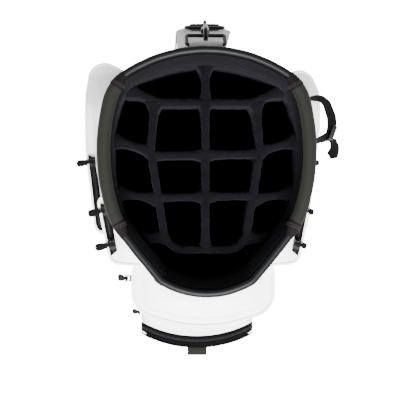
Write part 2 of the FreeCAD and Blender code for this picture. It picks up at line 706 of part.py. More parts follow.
def sewn_tab(tab_z, up):
    """The webbing tab: a loop round the ring's rear bar, and a tail sewn flat to the bag."""
    offset = 0 if tab_z > COLLAR_BOTTOM_Z else SKIN_OUT
    back = on_outline(90.0, offset).y
    bore = RING_WIRE_R + WRAP_CLEAR
    across = Vector(1, 0, 0)
    loop = Part.makeCylinder(bore + WEB_T, WEB_W, Vector(-WEB_W / 2, TAB_REACH, tab_z), across)
    low = min(tab_z, tab_z - up * TAB_TAIL)
    tail = Part.makeBox(WEB_W, WEB_T, TAB_TAIL, Vector(-WEB_W / 2, back, low))
    bridge_h = 2 * (bore + WEB_T)
    bridge = Part.makeBox(WEB_W, TAB_REACH - back, bridge_h, Vector(-WEB_W / 2, back, tab_z - bridge_h / 2))
    hole = Part.makeCylinder(bore, WEB_W + 2, Vector(-WEB_W / 2 - 1, TAB_REACH, tab_z), across)
    return largest(fuse([loop, bridge, tail]).cut(disc(offset, 0, RIM_CENTRE_Z)).cut(hole))


def build_strap_end(label, tab_z, up):
    """D-ring, hook and gate of the strap's upper or lower end; returns the tab, the eye and its centre."""
    tilt = -RING_TILT * up
    bar = Vector(0, TAB_REACH, tab_z)
    ring = torus_ring(RING_W, RING_D, RING_WIRE_R, RING_CORNER)
    keep(label + "_d_ring", place(ring, Placement(bar, Rotation(Vector(1, 0, 0), tilt))))
    lean = math.radians(tilt)
    hang = bar + Vector(0, math.cos(lean), math.sin(lean)) * (RING_D - 2 * RING_WIRE_R)
    direction = Vector(0, *(UPPER_HOOK_DIR if up > 0 else LOWER_HOOK_DIR))
    direction.normalize()
    across = Vector(1, 0, 0)
    frame = Placement(hang, Rotation(direction, direction.cross(across), across, "XZY"))
    build_hook(label, frame)
    return sewn_tab(tab_z, up), build_eye(frame), hang + direction * EYE_CENTRE


def build_hook(label, frame):
    """Local x runs from the ring bar to the strap, local y across the throat, local z along the bar."""
    x_axis, z_axis = Vector(1, 0, 0), Vector(0, 0, 1)
    spine = Part.makeCylinder(HOOK_WIRE_R, HOOK_LEG, Vector(0, HOOK_R, 0), x_axis)
    circle = Part.Face(Part.Wire(Part.makeCircle(HOOK_WIRE_R, Vector(0, HOOK_R, 0), x_axis)))
    bend = circle.revolve(Vector(0, 0, 0), z_axis, 180)
    tip = Part.makeSphere(HOOK_WIRE_R, Vector(0, -HOOK_R, 0))
    base_y = -HOOK_R - HOOK_BASE_RIM
    base_at = Vector(HOOK_LEG - 2.0, base_y, -HOOK_BASE_T / 2)
    base = Part.makeBox(HOOK_BASE_L, -2 * base_y, HOOK_BASE_T, base_at)
    barrel = Part.makeCylinder(BARREL_R, BARREL_L, Vector(BARREL_AT, 0, 0), x_axis)
    neck = Part.makeCylinder(STEM_R + STEM_CLEAR, BARREL_L, Vector(HEAD_AT, 0, 0), x_axis)
    chamber_at = Vector(HEAD_AT - HEAD_CLEAR, 0, 0)
    chamber = Part.makeCylinder(HEAD_R + STEM_CLEAR, HEAD_T + 2 * HEAD_CLEAR, chamber_at, x_axis)
    slot_at = Vector(HOOK_LEG - HOOK_BASE_L / 2, base_y - 1.0, -GATE_SLOT_W / 2)
    slot = Part.makeBox(HOOK_BASE_L, HOOK_R - 1.0, GATE_SLOT_W, slot_at)
    pin = Part.makeCylinder(PIN_R, PIN_L, Vector(HOOK_LEG, -HOOK_R, -PIN_L / 2), z_axis)
    hook = fuse([spine, bend, tip, base, barrel]).cut([neck, chamber, slot]).fuse(pin)
    keep(label + "_snap_hook", place(largest(hook.removeSplitter()), frame))

    tip_x = HOOK_WIRE_R + GATE_CLEAR
    gate_l = HOOK_LEG - KNUCKLE_R + 0.6 - tip_x
    gate = Part.makeCylinder(GATE_R, gate_l, Vector(tip_x, -HOOK_R, 0), x_axis)
    knuckle = Part.makeCylinder(KNUCKLE_R, KNUCKLE_W, Vector(HOOK_LEG, -HOOK_R, -KNUCKLE_W / 2), z_axis)
    eye = Part.makeCylinder(PIN_R + PIN_CLEAR, PIN_L, Vector(HOOK_LEG, -HOOK_R, -PIN_L / 2), z_axis)
    keep(label + "_hook_gate", place(fuse([gate, knuckle]).cut(eye), frame))


def build_eye(frame):
    """The swivel eye: a bow for the strap's ring, with a headed stem held in the hook's barrel."""
    x_axis = Vector(1, 0, 0)
    bow = Part.makeTorus(EYE_BOW_R, EYE_WIRE_R, Vector(EYE_CENTRE, 0, 0), Vector(0, 0, 1))
    stem = Part.makeCylinder(STEM_R, EYE_CENTRE - EYE_BOW_R - HEAD_AT, Vector(HEAD_AT, 0, 0), x_axis)
    head = Part.makeCylinder(HEAD_R, HEAD_T, Vector(HEAD_AT, 0, 0), x_axis)
    return place(fuse([bow, stem, head]), frame)


def webbing_end(bar, up, far, pad):
    """Webbing wrapped round a loop ring's bar and run to its far end inside the pad."""
    bore = RING_WIRE_R + WRAP_CLEAR
    across = Vector(1, 0, 0)
    wrap = Part.makeCylinder(bore + WEB_T, WRAP_W, Vector(-WRAP_W / 2, bar.y, bar.z), across)
    near, deep = WRAP_LINK
    low = bar.z - deep if up > 0 else bar.z + near
    link = Part.makeBox(WRAP_W, 2 * WEB_T, deep - near, Vector(-WRAP_W / 2, bar.y - WEB_T, low))
    ends = [(bar.y + (WEB_TOP_OUT if up > 0 else 0), bar.z - up * WEB_END_DROP, 0), far]
    strip = side_profile(strip_face(ends if up > 0 else ends[::-1], WEB_T), WEB_W)
    hole = Part.makeCylinder(bore, WEB_W, Vector(-WEB_W / 2, bar.y, bar.z), across)
    return largest(fuse([wrap, link, strip]).cut(hole).cut(pad))


def build_strap():
    reach = LOOP_D - 2 * RING_WIRE_R
    loops, bars, tabs, eyes = [], [], [], []
    for label, tab_z, up in (("upper", TAB_Z[0], 1), ("lower", TAB_Z[1], -1)):
        tab, eye, centre = build_strap_end(label, tab_z, up)
        tabs.append(tab)
        eyes.append(eye)
        ring = torus_ring(RING_W, LOOP_D, RING_WIRE_R, LOOP_CORNER)
        loops.append(place(ring, Placement(centre, Rotation(Vector(1, 0, 0), -STRAP_TILT * up))))
        lean = math.radians(-STRAP_TILT * up)
        bars.append(centre + Vector(0, math.cos(lean), math.sin(lean)) * reach)
    keep("strap_tabs", *tabs)
    keep("swivel_eyes", *eyes)
    keep("strap_loops", *loops)
    top, bottom = bars
    pad_top = (PAD_TOP_Y, PAD_Z[1], 0)
    pad_foot = (bottom.y + PAD_FOOT_OUT, PAD_Z[0], 0)
    pad = side_profile(strip_face([pad_top, PAD_BEND, pad_foot], PAD_T), PAD_W)
    keep("shoulder_pad", pad)
    keep("strap_webbing", webbing_end(top, 1, pad_top, pad), webbing_end(bottom, -1, pad_foot, pad))


# ================================================================ umbrella strap, snaps, stays
def build_leash():
    """The loop that holds an umbrella's shaft, its buckle and the free tail past the buckle."""
    z0 = LEASH_Z - LEASH_W / 2
    loop = strip_face(LEASH_PATH, LEASH_T).extrude(Vector(0, 0, LEASH_W))
    tail = strip_face(LEASH_TAIL, LEASH_T).extrude(Vector(0, 0, LEASH_W))
    for strip in (loop, tail):
        strip.translate(Vector(0, 0, z0))
    length, width, thick = BUCKLE
    buckle = Part.makeBox(thick, width, length, Vector(-thick / 2, -width / 2, -length / 2))
    buckle = buckle.makeFillet(2.0, [e for e in buckle.Edges if abs(e.tangentAt(e.FirstParameter).x) > 0.9])
    slot_h = LEASH_W + 1.0
    for y in BUCKLE_SLOTS:
        slot_at = Vector(-thick / 2 - 1, y, -slot_h / 2)
        buckle = buckle.cut(Part.makeBox(thick + 2, BUCKLE_SLOT_W, slot_h, slot_at))
    x, y = LEASH_PATH[3][:2]
    spot = Vector(x + BUCKLE_SHIFT[0], y + BUCKLE_SHIFT[1], LEASH_Z)
    buckle.Placement = Placement(spot, Rotation(Vector(0, 0, 1), BUCKLE_TURN))
    strap = loop.cut(disc(0, 0, RIM_CENTRE_Z)).cut(buckle)
    lengths = [s for s in strap.Solids if s.Volume > CRUMB_VOLUME]
    keep("umbrella_strap", *lengths, largest(tail.cut(buckle).cut(loop)))
    keep("umbrella_buckle", buckle)


def build_snaps():
    studs = []
    sunk = 1.0
    for normal in SNAP_ANGLES:
        at = on_outline(normal, 0.0, (COLLAR_BOTTOM_Z + SADDLE_Z) / 2)
        out = unit(normal)
        stud = Part.makeCylinder(SNAP_R, SNAP_T + sunk, at - out * sunk, out)
        studs.append(stud.cut(disc(0, 0, RIM_CENTRE_Z)))
    keep("hood_snaps", *studs)


def build_stays(liner_in, tray_top):
    """Round stays that stand between the tray and the grid, against the divider sheets."""
    bottom, top = tray_top, GRID_TOP_Z - GRID_DEPTH
    stays = []
    for normal in STAY_NORMALS:
        at = on_outline(normal, liner_in - STAY_R, bottom)
        stays.append(Part.makeCylinder(STAY_R, top - bottom, at))
    keep("stay_rods", *stays)


def main():
    os.makedirs("parts", exist_ok=True)
    floor_z, tray_top = build_base()
    liner_in = build_body(floor_z, tray_top)
    ring_in = build_collar()
    build_handles()
    build_dividers(ring_in, liner_in, tray_top)
    build_pockets()
    build_zips()
    build_strap()
    build_leash()
    build_snaps()
    build_stays(liner_in, tray_top)
    for name, shape in NODES.items():
        shape.exportStep("parts/%s.step" % name)
        if not shape.isValid():
            print("not valid:", name)


main()
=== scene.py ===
import json
import math

import bmesh
import bpy
import numpy as np
from mathutils import Matrix, Vector


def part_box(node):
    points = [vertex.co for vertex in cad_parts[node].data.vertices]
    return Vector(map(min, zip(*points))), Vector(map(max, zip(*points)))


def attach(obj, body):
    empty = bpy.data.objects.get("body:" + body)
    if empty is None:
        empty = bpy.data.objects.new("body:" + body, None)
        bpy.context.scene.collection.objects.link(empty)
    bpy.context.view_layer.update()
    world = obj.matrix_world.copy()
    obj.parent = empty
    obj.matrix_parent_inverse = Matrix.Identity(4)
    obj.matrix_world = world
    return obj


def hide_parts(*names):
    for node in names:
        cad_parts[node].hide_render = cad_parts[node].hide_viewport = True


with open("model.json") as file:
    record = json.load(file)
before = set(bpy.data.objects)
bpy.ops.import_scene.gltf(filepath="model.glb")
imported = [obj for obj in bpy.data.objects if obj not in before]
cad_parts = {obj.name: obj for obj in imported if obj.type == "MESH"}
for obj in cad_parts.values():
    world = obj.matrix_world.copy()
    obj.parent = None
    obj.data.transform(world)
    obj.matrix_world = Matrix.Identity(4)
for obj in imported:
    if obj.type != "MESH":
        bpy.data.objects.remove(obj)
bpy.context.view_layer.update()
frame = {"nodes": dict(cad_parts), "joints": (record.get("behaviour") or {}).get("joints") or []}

BAG = "bag"

# ------------------------------------------------------------------ camera
# A camera high above the club openings, a little to the left of the bag's middle and tilted to look back at it.
rim_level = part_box("handle_sleeves")[1].z
camera = bpy.data.objects.new("camera", bpy.data.cameras.new("camera"))
bpy.context.scene.collection.objects.link(camera)
camera.location = (-0.048, -0.035, rim_level + 1.600)
backward = -Vector((0.049, 0.0, -1.600)).normalized()
rightward = Vector((0, 1, 0)).cross(backward).normalized()
camera.rotation_mode = "QUATERNION"
camera.rotation_quaternion = Matrix((rightward, backward.cross(rightward), backward)).transposed().to_quaternion()
camera.data.sensor_width = 36.0
camera.data.lens = 121.4
camera.data.clip_start, camera.data.clip_end = 0.05, 60.0
bpy.context.scene.camera = camera

# ------------------------------------------------------------------ floor and light
# A plain pale studio floor and surround, both seen as white but lighting the bag weakly. A large softbox
# stands high in front,
# with two weaker ones at the sides.
floor_mesh = bpy.data.meshes.new("floor")
floor_mesh.from_pydata([(-9, -9, 0), (9, -9, 0), (9, 9, 0), (-9, 9, 0)], [], [(0, 1, 2, 3)])
floor = bpy.data.objects.new("floor", floor_mesh)
bpy.context.scene.collection.objects.link(floor)
floor_paint = bpy.data.materials.new("floor_paint")
floor_paint.use_nodes = True
floor_paint.node_tree.nodes["Principled BSDF"].inputs["Base Color"].default_value = (0.93, 0.93, 0.93, 1)
floor_paint.node_tree.nodes["Principled BSDF"].inputs["Roughness"].default_value = 0.9
floor_paint.node_tree.nodes["Principled BSDF"].inputs["Emission Color"].default_value = (1, 1, 1, 1)
rays = floor_paint.node_tree.nodes.new("ShaderNodeLightPath")
glow = floor_paint.node_tree.nodes.new("ShaderNodeMapRange")
glow.inputs["To Min"].default_value, glow.inputs["To Max"].default_value = 0.6, 16.0
floor_paint.node_tree.links.new(rays.outputs["Is Camera Ray"], glow.inputs["Value"])
floor_paint.node_tree.links.new(glow.outputs["Result"],
    floor_paint.node_tree.nodes["Principled BSDF"].inputs["Emission Strength"])
floor_mesh.materials.append(floor_paint)

surround = bpy.data.worlds.new("surround")
bpy.context.scene.world = surround
surround.use_nodes = True
surround.node_tree.nodes["Background"].inputs["Color"].default_value = (1.0, 1.0, 1.0, 1)
seen = surround.node_tree.nodes.new("ShaderNodeLightPath")
brightness = surround.node_tree.nodes.new("ShaderNodeMapRange")
brightness.inputs["To Min"].default_value, brightness.inputs["To Max"].default_value = 0.6, 16.0
surround.node_tree.links.new(seen.outputs["Is Camera Ray"], brightness.inputs["Value"])
surround.node_tree.links.new(brightness.outputs["Result"],
    surround.node_tree.nodes["Background"].inputs["Strength"])
for spot, power, size in (((0.05, -1.5, 3.0), 460.0, 1.2), ((-2.6, 0.4, 1.8), 26.0, 1.8),
        ((2.4, 0.8, 1.6), 26.0, 1.8)):
    lamp = bpy.data.lights.new("softbox", "AREA")
    lamp.energy, lamp.size = power, size
    box = bpy.data.objects.new("softbox", lamp)
    box.location = spot
    box.rotation_euler = (Vector((0, 0, 0.45)) - Vector(spot)).to_track_quat("-Z", "Y").to_euler()
    bpy.context.scene.collection.objects.link(box)

# ------------------------------------------------------------------ body skin
# The tube of the bag is a sewn sheet of white coated fabric with a fine leather grain, wrapped round a stiff liner.
# Its plan is a chain of tangent arcs; piping covers the two seams where the spine panel meets the side panels.
ARC_RADIUS = np.array([0.173, 0.056, 0.238, 0.091, 1.7500, 0.025])
ARC_END = np.radians([56.5, 14.2, -16.4, -37.8, -40.0, -60.0])
BACK_Y = 0.145


def half_outline(normal, out):
    """Points of the right half whose outward normals have those angles: each arc's centre plus (radius + out)
    along the normal.
    Each centre follows from the one before, so that arcs meet in a tangent. The last radius closes the chain at
    x = 0."""
    radius = np.append(ARC_RADIUS, 0.0)
    centre = np.zeros((7, 2))
    centre[0] = (0.0, BACK_Y - radius[0])
    for i, end in enumerate(ARC_END):
        if i == 5:
            radius[6] = radius[5] + centre[5, 0] / math.cos(end)
        centre[i + 1] = centre[i] + (radius[i] - radius[i + 1]) * np.array([math.cos(end), math.sin(end)])
    which = (normal[..., None] < ARC_END - 1e-9).sum(-1)
    reach = radius[which] + out
    return np.stack([centre[which, 0] + reach * np.cos(normal), centre[which, 1] + reach * np.sin(normal)], -1)


def round_the_bag(count, out=0.0, start=0.0, stop=1.0):
    """(points, normals, shares) evenly spaced by length round the outline, clockwise from the back middle (0)
    to itself (1).
    The length along each arc grows evenly with its normal's angle, so length is turned back into an angle by
    interpolation."""
    angle = np.radians(np.linspace(90.0, -90.0, 3601))
    walk = half_outline(angle, 0.0)
    length = np.append(0.0, np.cumsum(np.hypot(*np.diff(walk, axis=0).T)))
    share = np.linspace(start, stop, count)
    folded = np.abs((share + 0.5) % 1.0 - 0.5) * 2.0
    side = np.where((share % 1.0) <= 0.5, 1.0, -1.0)
    theta = np.interp(folded * length[-1], length, angle)
    point = half_outline(theta, out)
    normal = np.stack([np.cos(theta), np.sin(theta)], -1)
    point[:, 0] *= side
    normal[:, 0] *= side
    return point, normal, share


def all_round(count, out):
    """The same for a closed band: count stations, with the last one left out because it would repeat the first."""
    point, normal, share = round_the_bag(count + 1, out)
    return point[:-1], normal[:-1], share[:-1]


def share_at(normal_deg):
    """Where along the right half (0 at the back, 0.5 at the front) the outward normal has that angle."""
    angle = np.radians(np.linspace(90.0, -90.0, 3601))
    walk = half_outline(angle, 0.0)
    length = np.append(0.0, np.cumsum(np.hypot(*np.diff(walk, axis=0).T)))
    return float(np.interp(-math.radians(normal_deg), -angle, length) / length[-1] / 2.0)


def grid(P, close_u=False, close_v=False, cap=False):
    """(corners, faces, uv) of the surface P[u, v]: neighbouring points make a quad, and uv is the length
    walked along u and v.
    With cap, each end ring of u is closed by a fan to its middle."""
    P = np.asarray(P, float)
    nu, nv = P.shape[:2]
    index = np.arange(nu * nv).reshape(nu, nv)
    a = index if close_u else index[:-1]
    b = np.roll(index, -1, 0) if close_u else index[1:]
    if close_v:
        quad = np.stack([a, b, np.roll(b, -1, 1), np.roll(a, -1, 1)], -1)
    else:
        quad = np.stack([a[:, :-1], b[:, :-1], b[:, 1:], a[:, 1:]], -1)
    faces = quad.reshape(-1, 4)
    du = np.append(0, np.cumsum(np.linalg.norm(np.diff(P, axis=0), axis=2).mean(1)))
    dv = np.append(0, np.cumsum(np.linalg.norm(np.diff(P, axis=1), axis=2).mean(0)))
    U, V = np.meshgrid(du, dv, indexing="ij")
    uv = np.stack([U, V], -1).reshape(-1, 2)
    corners = P.reshape(-1, 3)
    polygons = [faces]
    if cap:
        middles = np.stack([P[0].mean(0), P[-1].mean(0)])
        m0, m1 = len(corners), len(corners) + 1
        first, last = index[0], index[-1]
        fan0 = np.stack([np.full(nv, m0), first, np.roll(first, -1)], -1)
        fan1 = np.stack([np.full(nv, m1), np.roll(last, -1), last], -1)
        if not close_v:
            fan0, fan1 = fan0[:-1], fan1[:-1]
        corners = np.vstack([corners, middles])
        uv = np.vstack([uv, uv[[0, -1]]])
        polygons += [fan0, fan1]
    return corners, polygons, uv


def make(name, parts, material, body=BAG, smooth=True):
    """One object from several grids, riding on a body. Corner indices are shifted by the number of corners
    before them."""
    corners, faces, uvs, count = [], [], [], 0
    for c, polygons, uv in parts:
        corners.append(c)
        uvs.append(uv)
        faces += [(f + count) for f in polygons]
        count += len(c)
    corners, uvs = np.vstack(corners), np.vstack(uvs)
    sizes = np.concatenate([np.full(len(f), f.shape[1]) for f in faces])
    loops = np.concatenate([f.reshape(-1) for f in faces])
    data = bpy.data.meshes.new(name)
    data.vertices.add(len(corners))
    data.vertices.foreach_set("co", corners.astype(np.float32).reshape(-1))
    data.loops.add(len(loops))
    data.loops.foreach_set("vertex_index", loops.astype(np.int32))
    data.polygons.add(len(sizes))
    data.polygons.foreach_set("loop_start", np.append(0, np.cumsum(sizes)[:-1]).astype(np.int32))
    data.polygons.foreach_set("use_smooth", np.full(len(sizes), smooth))
    data.update(calc_edges=True)
    data.uv_layers.new(name="lay").data.foreach_set("uv", uvs[loops].astype(np.float32).reshape(-1))
    data.validate()
    skin = bmesh.new()
    skin.from_mesh(data)
    bmesh.ops.recalc_face_normals(skin, faces=skin.faces)
    skin.to_mesh(data)
    skin.free()
    piece = bpy.data.objects.new(name, data)
    bpy.context.scene.collection.objects.link(piece)
    data.materials.append(material)
    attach(piece, body)
    return piece


def thicken(piece, wall):
    """Gives a sheet its wall, inwards from the side that shows."""
    solid = piece.modifiers.new("wall", "SOLIDIFY")
    solid.thickness, solid.offset = wall, -1.0
    return piece


def group(name, inputs, outputs):
    """An empty shader node group with those float inputs, and its input and output nodes."""
    tree = bpy.data.node_groups.new(name, "ShaderNodeTree")
    for label, value in inputs.items():
        tree.interface.new_socket(label, in_out="INPUT", socket_type="NodeSocketFloat").default_value = value
    for label in outputs:
        tree.interface.new_socket(label, in_out="OUTPUT", socket_type="NodeSocketFloat")
    return tree, tree.nodes.new("NodeGroupInput"), tree.nodes.new("NodeGroupOutput")


def math_node(tree, operation, a, b=None, c=None):
    """A Math node; each operand is a number or another node's output."""
    node = tree.nodes.new("ShaderNodeMath")
    node.operation = operation
    for socket, value in zip(node.inputs, (a, b, c)):
        if isinstance(value, (int, float)):
            socket.default_value = value
        elif value is not None:
            tree.links.new(value, socket)
    return node.outputs[0]


def texture(tree, kind, vector, scale, **extra):
    """A texture node on those coordinates; extra names either its sockets or its settings."""
    node = tree.nodes.new(kind)
    for key, value in extra.items():
        if key in node.inputs:
            node.inputs[key].default_value = value
        else:
            setattr(node, key, value)
    tree.links.new(vector, node.inputs["Vector"])
    if isinstance(scale, (int, float)):
        node.inputs["Scale"].default_value = scale
    else:
        tree.links.new(scale, node.inputs["Scale"])
    return node


# coated fabric: pebbles about a millimetre across, soft creases, and faint handling marks
grain, g_in, g_out = group("leather_grain", {"Pebble": 900.0, "Crease": 60.0}, ["Height", "Tone", "Polish"])
where = grain.nodes.new("ShaderNodeTexCoord").outputs["Object"]
pebble = texture(grain, "ShaderNodeTexVoronoi", where, g_in.outputs["Pebble"], feature="SMOOTH_F1",
    Smoothness=0.6).outputs["Distance"]
crease = texture(grain, "ShaderNodeTexNoise", where, g_in.outputs["Crease"], Detail=5.0,
    Roughness=0.6).outputs["Fac"]
marks = texture(grain, "ShaderNodeTexNoise", where, 14.0, Detail=3.0, Roughness=0.55).outputs["Fac"]
grain.links.new(math_node(grain, "ADD", math_node(grain, "MULTIPLY", pebble, 0.35),
    math_node(grain, "MULTIPLY", crease, 0.8)), g_out.inputs["Height"])
grain.links.new(marks, g_out.inputs["Tone"])
grain.links.new(math_node(grain, "MULTIPLY_ADD", crease, 0.5, math_node(grain, "MULTIPLY", marks, 0.5)),
    g_out.inputs["Polish"])


def finish(name, color, rough, effect, values, tone=0.1, polish=0.1, bump=0.2, depth=0.0005, metallic=0.0,
        tint=None, **direct):
    """A Principled material whose colour, roughness and bump follow one effect group: colour goes from color
    to tint by Tone,
    roughness from rough - polish to rough + polish by Polish, and Height feeds the bump. Constants sit on the
    shader itself."""
    paint = bpy.data.materials.new(name)
    paint.use_nodes = True
    tree = paint.node_tree
    shader = tree.nodes["Principled BSDF"]
    for key, value in direct.items():
        shader.inputs[key.replace("_", " ")].default_value = value
    shader.inputs["Metallic"].default_value = metallic
    maker = tree.nodes.new("ShaderNodeGroup")
    maker.node_tree = effect
    for key, value in values.items():
        maker.inputs[key].default_value = value
    mix = tree.nodes.new("ShaderNodeMix")
    mix.data_type = "RGBA"
    tint = tint or tuple(max(0.0, c * (1.0 - tone * 2.0)) for c in color)
    mix.inputs["A"].default_value = (*color, 1)
    mix.inputs["B"].default_value = (*tint, 1)
    tree.links.new(maker.outputs["Tone"], mix.inputs["Factor"])
    tree.links.new(mix.outputs["Result"], shader.inputs["Base Color"])
    spread = tree.nodes.new("ShaderNodeMapRange")
    spread.inputs["To Min"].default_value = max(0.02, rough - polish)
    spread.inputs["To Max"].default_value = min(1.0, rough + polish)
    tree.links.new(maker.outputs["Polish"], spread.inputs["Value"])
    tree.links.new(spread.outputs["Result"], shader.inputs["Roughness"])
    relief = tree.nodes.new("ShaderNodeBump")
    relief.inputs["Strength"].default_value = bump
    relief.inputs["Distance"].default_value = depth
    tree.links.new(maker.outputs["Height"], relief.inputs["Height"])
    tree.links.new(relief.outputs["Normal"], shader.inputs["Normal"])
    return paint


white_coat = finish("white_coated_fabric", (0.88, 0.88, 0.875), 0.42, grain, {"Pebble": 950.0, "Crease": 70.0},
                    tone=0.03, polish=0.12, bump=0.35, depth=0.0006, Coat_Weight=0.08, Coat_Roughness=0.3)


def unit(rows):
    """Each row scaled to length one."""
    return rows / np.linalg.norm(rows, axis=1, keepdims=True)


def walked(path):
    """Length walked along a path's points, from 0."""
    return np.append(0.0, np.cumsum(np.linalg.norm(np.diff(path, axis=0), axis=1)))


def picked(at, run, values):
    """Rows of values, known at the lengths in run, interpolated at the lengths in at."""
    return np.stack([np.interp(at, run, values[:, k]) for k in range(values.shape[1])], -1)


def stitch_row(path, outward, pitch=0.0042, length=0.0030, width=0.0008, sunk=0.0002):
    """Thread along a path: lozenges of a few faces each, one per pitch. Every stitch is the same small ring
    profile, placed with
    its length along the path's tangent and its height along outward; all stitches are made in one broadcast."""
    path, outward = np.asarray(path, float), np.asarray(outward, float)
    step = np.linalg.norm(np.diff(path, axis=0), axis=1)
    run = np.append(0.0, np.cumsum(step))
    count = max(2, int(run[-1] / pitch))
    at = (np.arange(count) + 0.5) * run[-1] / count
    place = picked(at, run, path)
    ahead = picked(at + 1e-4, run, path) - picked(at - 1e-4, run, path)
    ahead = unit(ahead)
    up = picked(at, run, outward)
    up -= (up * ahead).sum(1, keepdims=True) * ahead
    up = unit(up)
    across = np.cross(ahead, up)
    along = np.array([-0.5, -0.36, 0.0, 0.36, 0.5]) * length
    fat = np.array([0.15, 0.8, 1.0, 0.8, 0.15]) * width / 2
    lift = np.array([-0.6, 0.2, 0.5, 0.2, -0.6]) * width
    turn = np.arange(6) * math.pi / 3
    local = np.stack([np.repeat(along[:, None], 6, 1), fat[:, None] * np.cos(turn),
        lift[:, None] + fat[:, None] * np.sin(turn)], -1)
    every = (place[:, None, None] + local[..., 0, None] * ahead[:, None, None] + local[..., 1, None] * across[:,
        None, None]
             + (local[..., 2, None] - sunk) * up[:, None, None])
    corners = every.reshape(-1, 3)
    ring = np.arange(30).reshape(5, 6)
    quad = np.stack([ring[:-1], ring[1:], np.roll(ring[1:], -1, 1), np.roll(ring[:-1], -1, 1)], -1).reshape(-1, 4)
    faces = (quad[None] + (np.arange(count) * 30)[:, None, None]).reshape(-1, 4)
    ends = np.stack([ring[0][::-1], ring[-1]])
    ends = (ends[None] + (np.arange(count) * 30)[:, None, None]).reshape(-1, 6)
    return corners, [faces, ends], np.zeros((len(corners), 2))


def tube(path, radius, sides=10, close=False, up=(0, 0, 1), flat=1.0):
    """A round cord or bar along a path: at each point a circle of that radius in the plane across the tangent,
    flattened along the up direction by the share flat."""
    path = np.asarray(path, float)
    ahead = (np.roll(path, -1, 0) - np.roll(path, 1, 0)) if close else np.gradient(path, axis=0)
    ahead = unit(ahead)
    up = np.broadcast_to(np.asarray(up, float), path.shape)
    side = np.cross(ahead, up)
    side = unit(side)
    rise = np.cross(side, ahead)
    turn = np.arange(sides) * 2 * math.pi / sides
    radius = np.broadcast_to(np.asarray(radius, float), (len(path),))
    ring = path[:, None] + radius[:, None, None] * (np.cos(turn)[None, :, None] * side[:,
        None] + flat * np.sin(turn)[None, :, None] * rise[:, None])
    return grid(ring, close_u=close, close_v=True, cap=not close)


def ripple(u, v, size, seed):
    """Gentle unevenness from -1 to 1: three crossed sine waves whose directions and phases come from the seed."""
    dice = np.random.default_rng(seed)
    total = 0.0
    for k in range(3):
        turn, phase, stretch = dice.uniform(0, math.pi), dice.uniform(0, 6.28), dice.uniform(0.7, 1.5)
        total = total + np.sin((u * math.cos(turn) + v * math.sin(turn)) * 2 * math.pi * stretch / size + phase)
    return total / 3.0


SKIN_OUT = -0.003
boot_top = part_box("base_boot")[1].z
collar_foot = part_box("top_collar")[0].z
point, normal, share = all_round(359, SKIN_OUT)
z = np.linspace(boot_top - 0.02, collar_foot + 0.01, 120)
S, Z = np.meshgrid(share * 0.75, z, indexing="ij")
puff = 0.0006 + 0.0006 * ripple(S, Z, 0.20, 3) + 0.0003 * ripple(S, Z * 2.2, 0.06, 4)
skin = np.concatenate([point[:, None] + normal[:, None] * puff[..., None], Z[..., None]], -1)
skin = make("body_skin_cloth", [grid(skin, close_u=True)], white_coat)
thicken(skin, 0.002)
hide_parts("body_skin")

# White stitching thread, given a mid grey that stands for the shade along the seams: painted shade.
thread_grey_as_painted_seam_shade = finish("white_thread_painted_seam_shade", (0.50, 0.50, 0.50), 0.7, grain, {"Pebble": 3000.0, "Crease": 900.0},
    tone=0.1, bump=0.3, depth=0.0002)
SPINE_SEAM = 66.0
for label, side in (("right", 1), ("left", -1)):
    s = share_at(SPINE_SEAM) * side
    p, n, _ = round_the_bag(3, SKIN_OUT + 0.0006, s, s + 0.001)
    height = np.linspace(boot_top, collar_foot, 160)
    seam = np.column_stack([np.full(160, p[0, 0]), np.full(160, p[0, 1]), height])
    make(label + "_spine_piping", [tube(seam, 0.0017, 8, up=(n[0, 0], n[0, 1], 0))], white_coat)
    rows = []
    for shift in (-0.006, 0.006):
        q = seam + np.array([-n[0, 1], n[0, 0], 0]) * shift
        rows.append(stitch_row(q, np.tile([n[0, 0], n[0, 1], 0], (160, 1))))
    make(label + "_spine_stitches", rows, thread_grey_as_painted_seam_shade)

# ------------------------------------------------------------------ moulded base
# The bag stands on an injection-moulded black boot with a flat sole plate under it; four screws hold both up
# into an
# inner tray that closes the tube and carries the club ends. Three alloy stays keep the top level with the base.


def dress(paint, *nodes):
    """CAD nodes keep their own shape and get this material."""
    for node in nodes:
        data = frame["nodes"][node].data
        data.materials.clear()
        data.materials.append(paint)


# moulded surface: a fine sparked texture with broader waviness and faint rub marks
moulding, g_in, g_out = group("moulded_surface", {"Spark": 1600.0, "Wave": 30.0}, ["Height", "Tone", "Polish"])
where = moulding.nodes.new("ShaderNodeTexCoord").outputs["Object"]
spark = texture(moulding, "ShaderNodeTexNoise", where, g_in.outputs["Spark"], Detail=3.0,
    Roughness=0.7).outputs["Fac"]
wave = texture(moulding, "ShaderNodeTexNoise", where, g_in.outputs["Wave"], Detail=2.0,
    Roughness=0.5).outputs["Fac"]
rub = texture(moulding, "ShaderNodeTexNoise", where, 120.0, Detail=6.0, Roughness=0.75,
    Distortion=0.6).outputs["Fac"]
moulding.links.new(math_node(moulding, "MULTIPLY_ADD", spark, 0.5, math_node(moulding, "MULTIPLY", wave, 0.9)),
    g_out.inputs["Height"])
moulding.links.new(math_node(moulding, "MULTIPLY_ADD", rub, 0.6, math_node(moulding, "MULTIPLY", wave, 0.4)),
    g_out.inputs["Tone"])
moulding.links.new(rub, g_out.inputs["Polish"])

boot_plastic = finish("boot_plastic", (0.0040, 0.0040, 0.0046), 0.48, moulding, {}, tone=0.25, polish=0.14,
    bump=0.3, depth=0.0004,
                      Specular_IOR_Level=0.18)
zinc = finish("zinc_steel", (0.52, 0.52, 0.50), 0.36, moulding, {"Spark": 900.0}, tone=0.15, polish=0.1, bump=0.1,
    depth=0.0002, metallic=1.0)
alloy = finish("stay_alloy", (0.62, 0.62, 0.64), 0.34, moulding, {"Spark": 700.0}, tone=0.1, polish=0.1, bump=0.1,
    depth=0.0002, metallic=1.0)
dress(boot_plastic, "base_sole", "base_boot", "base_tray")
dress(zinc, "base_screws")
dress(alloy, "stay_rods")

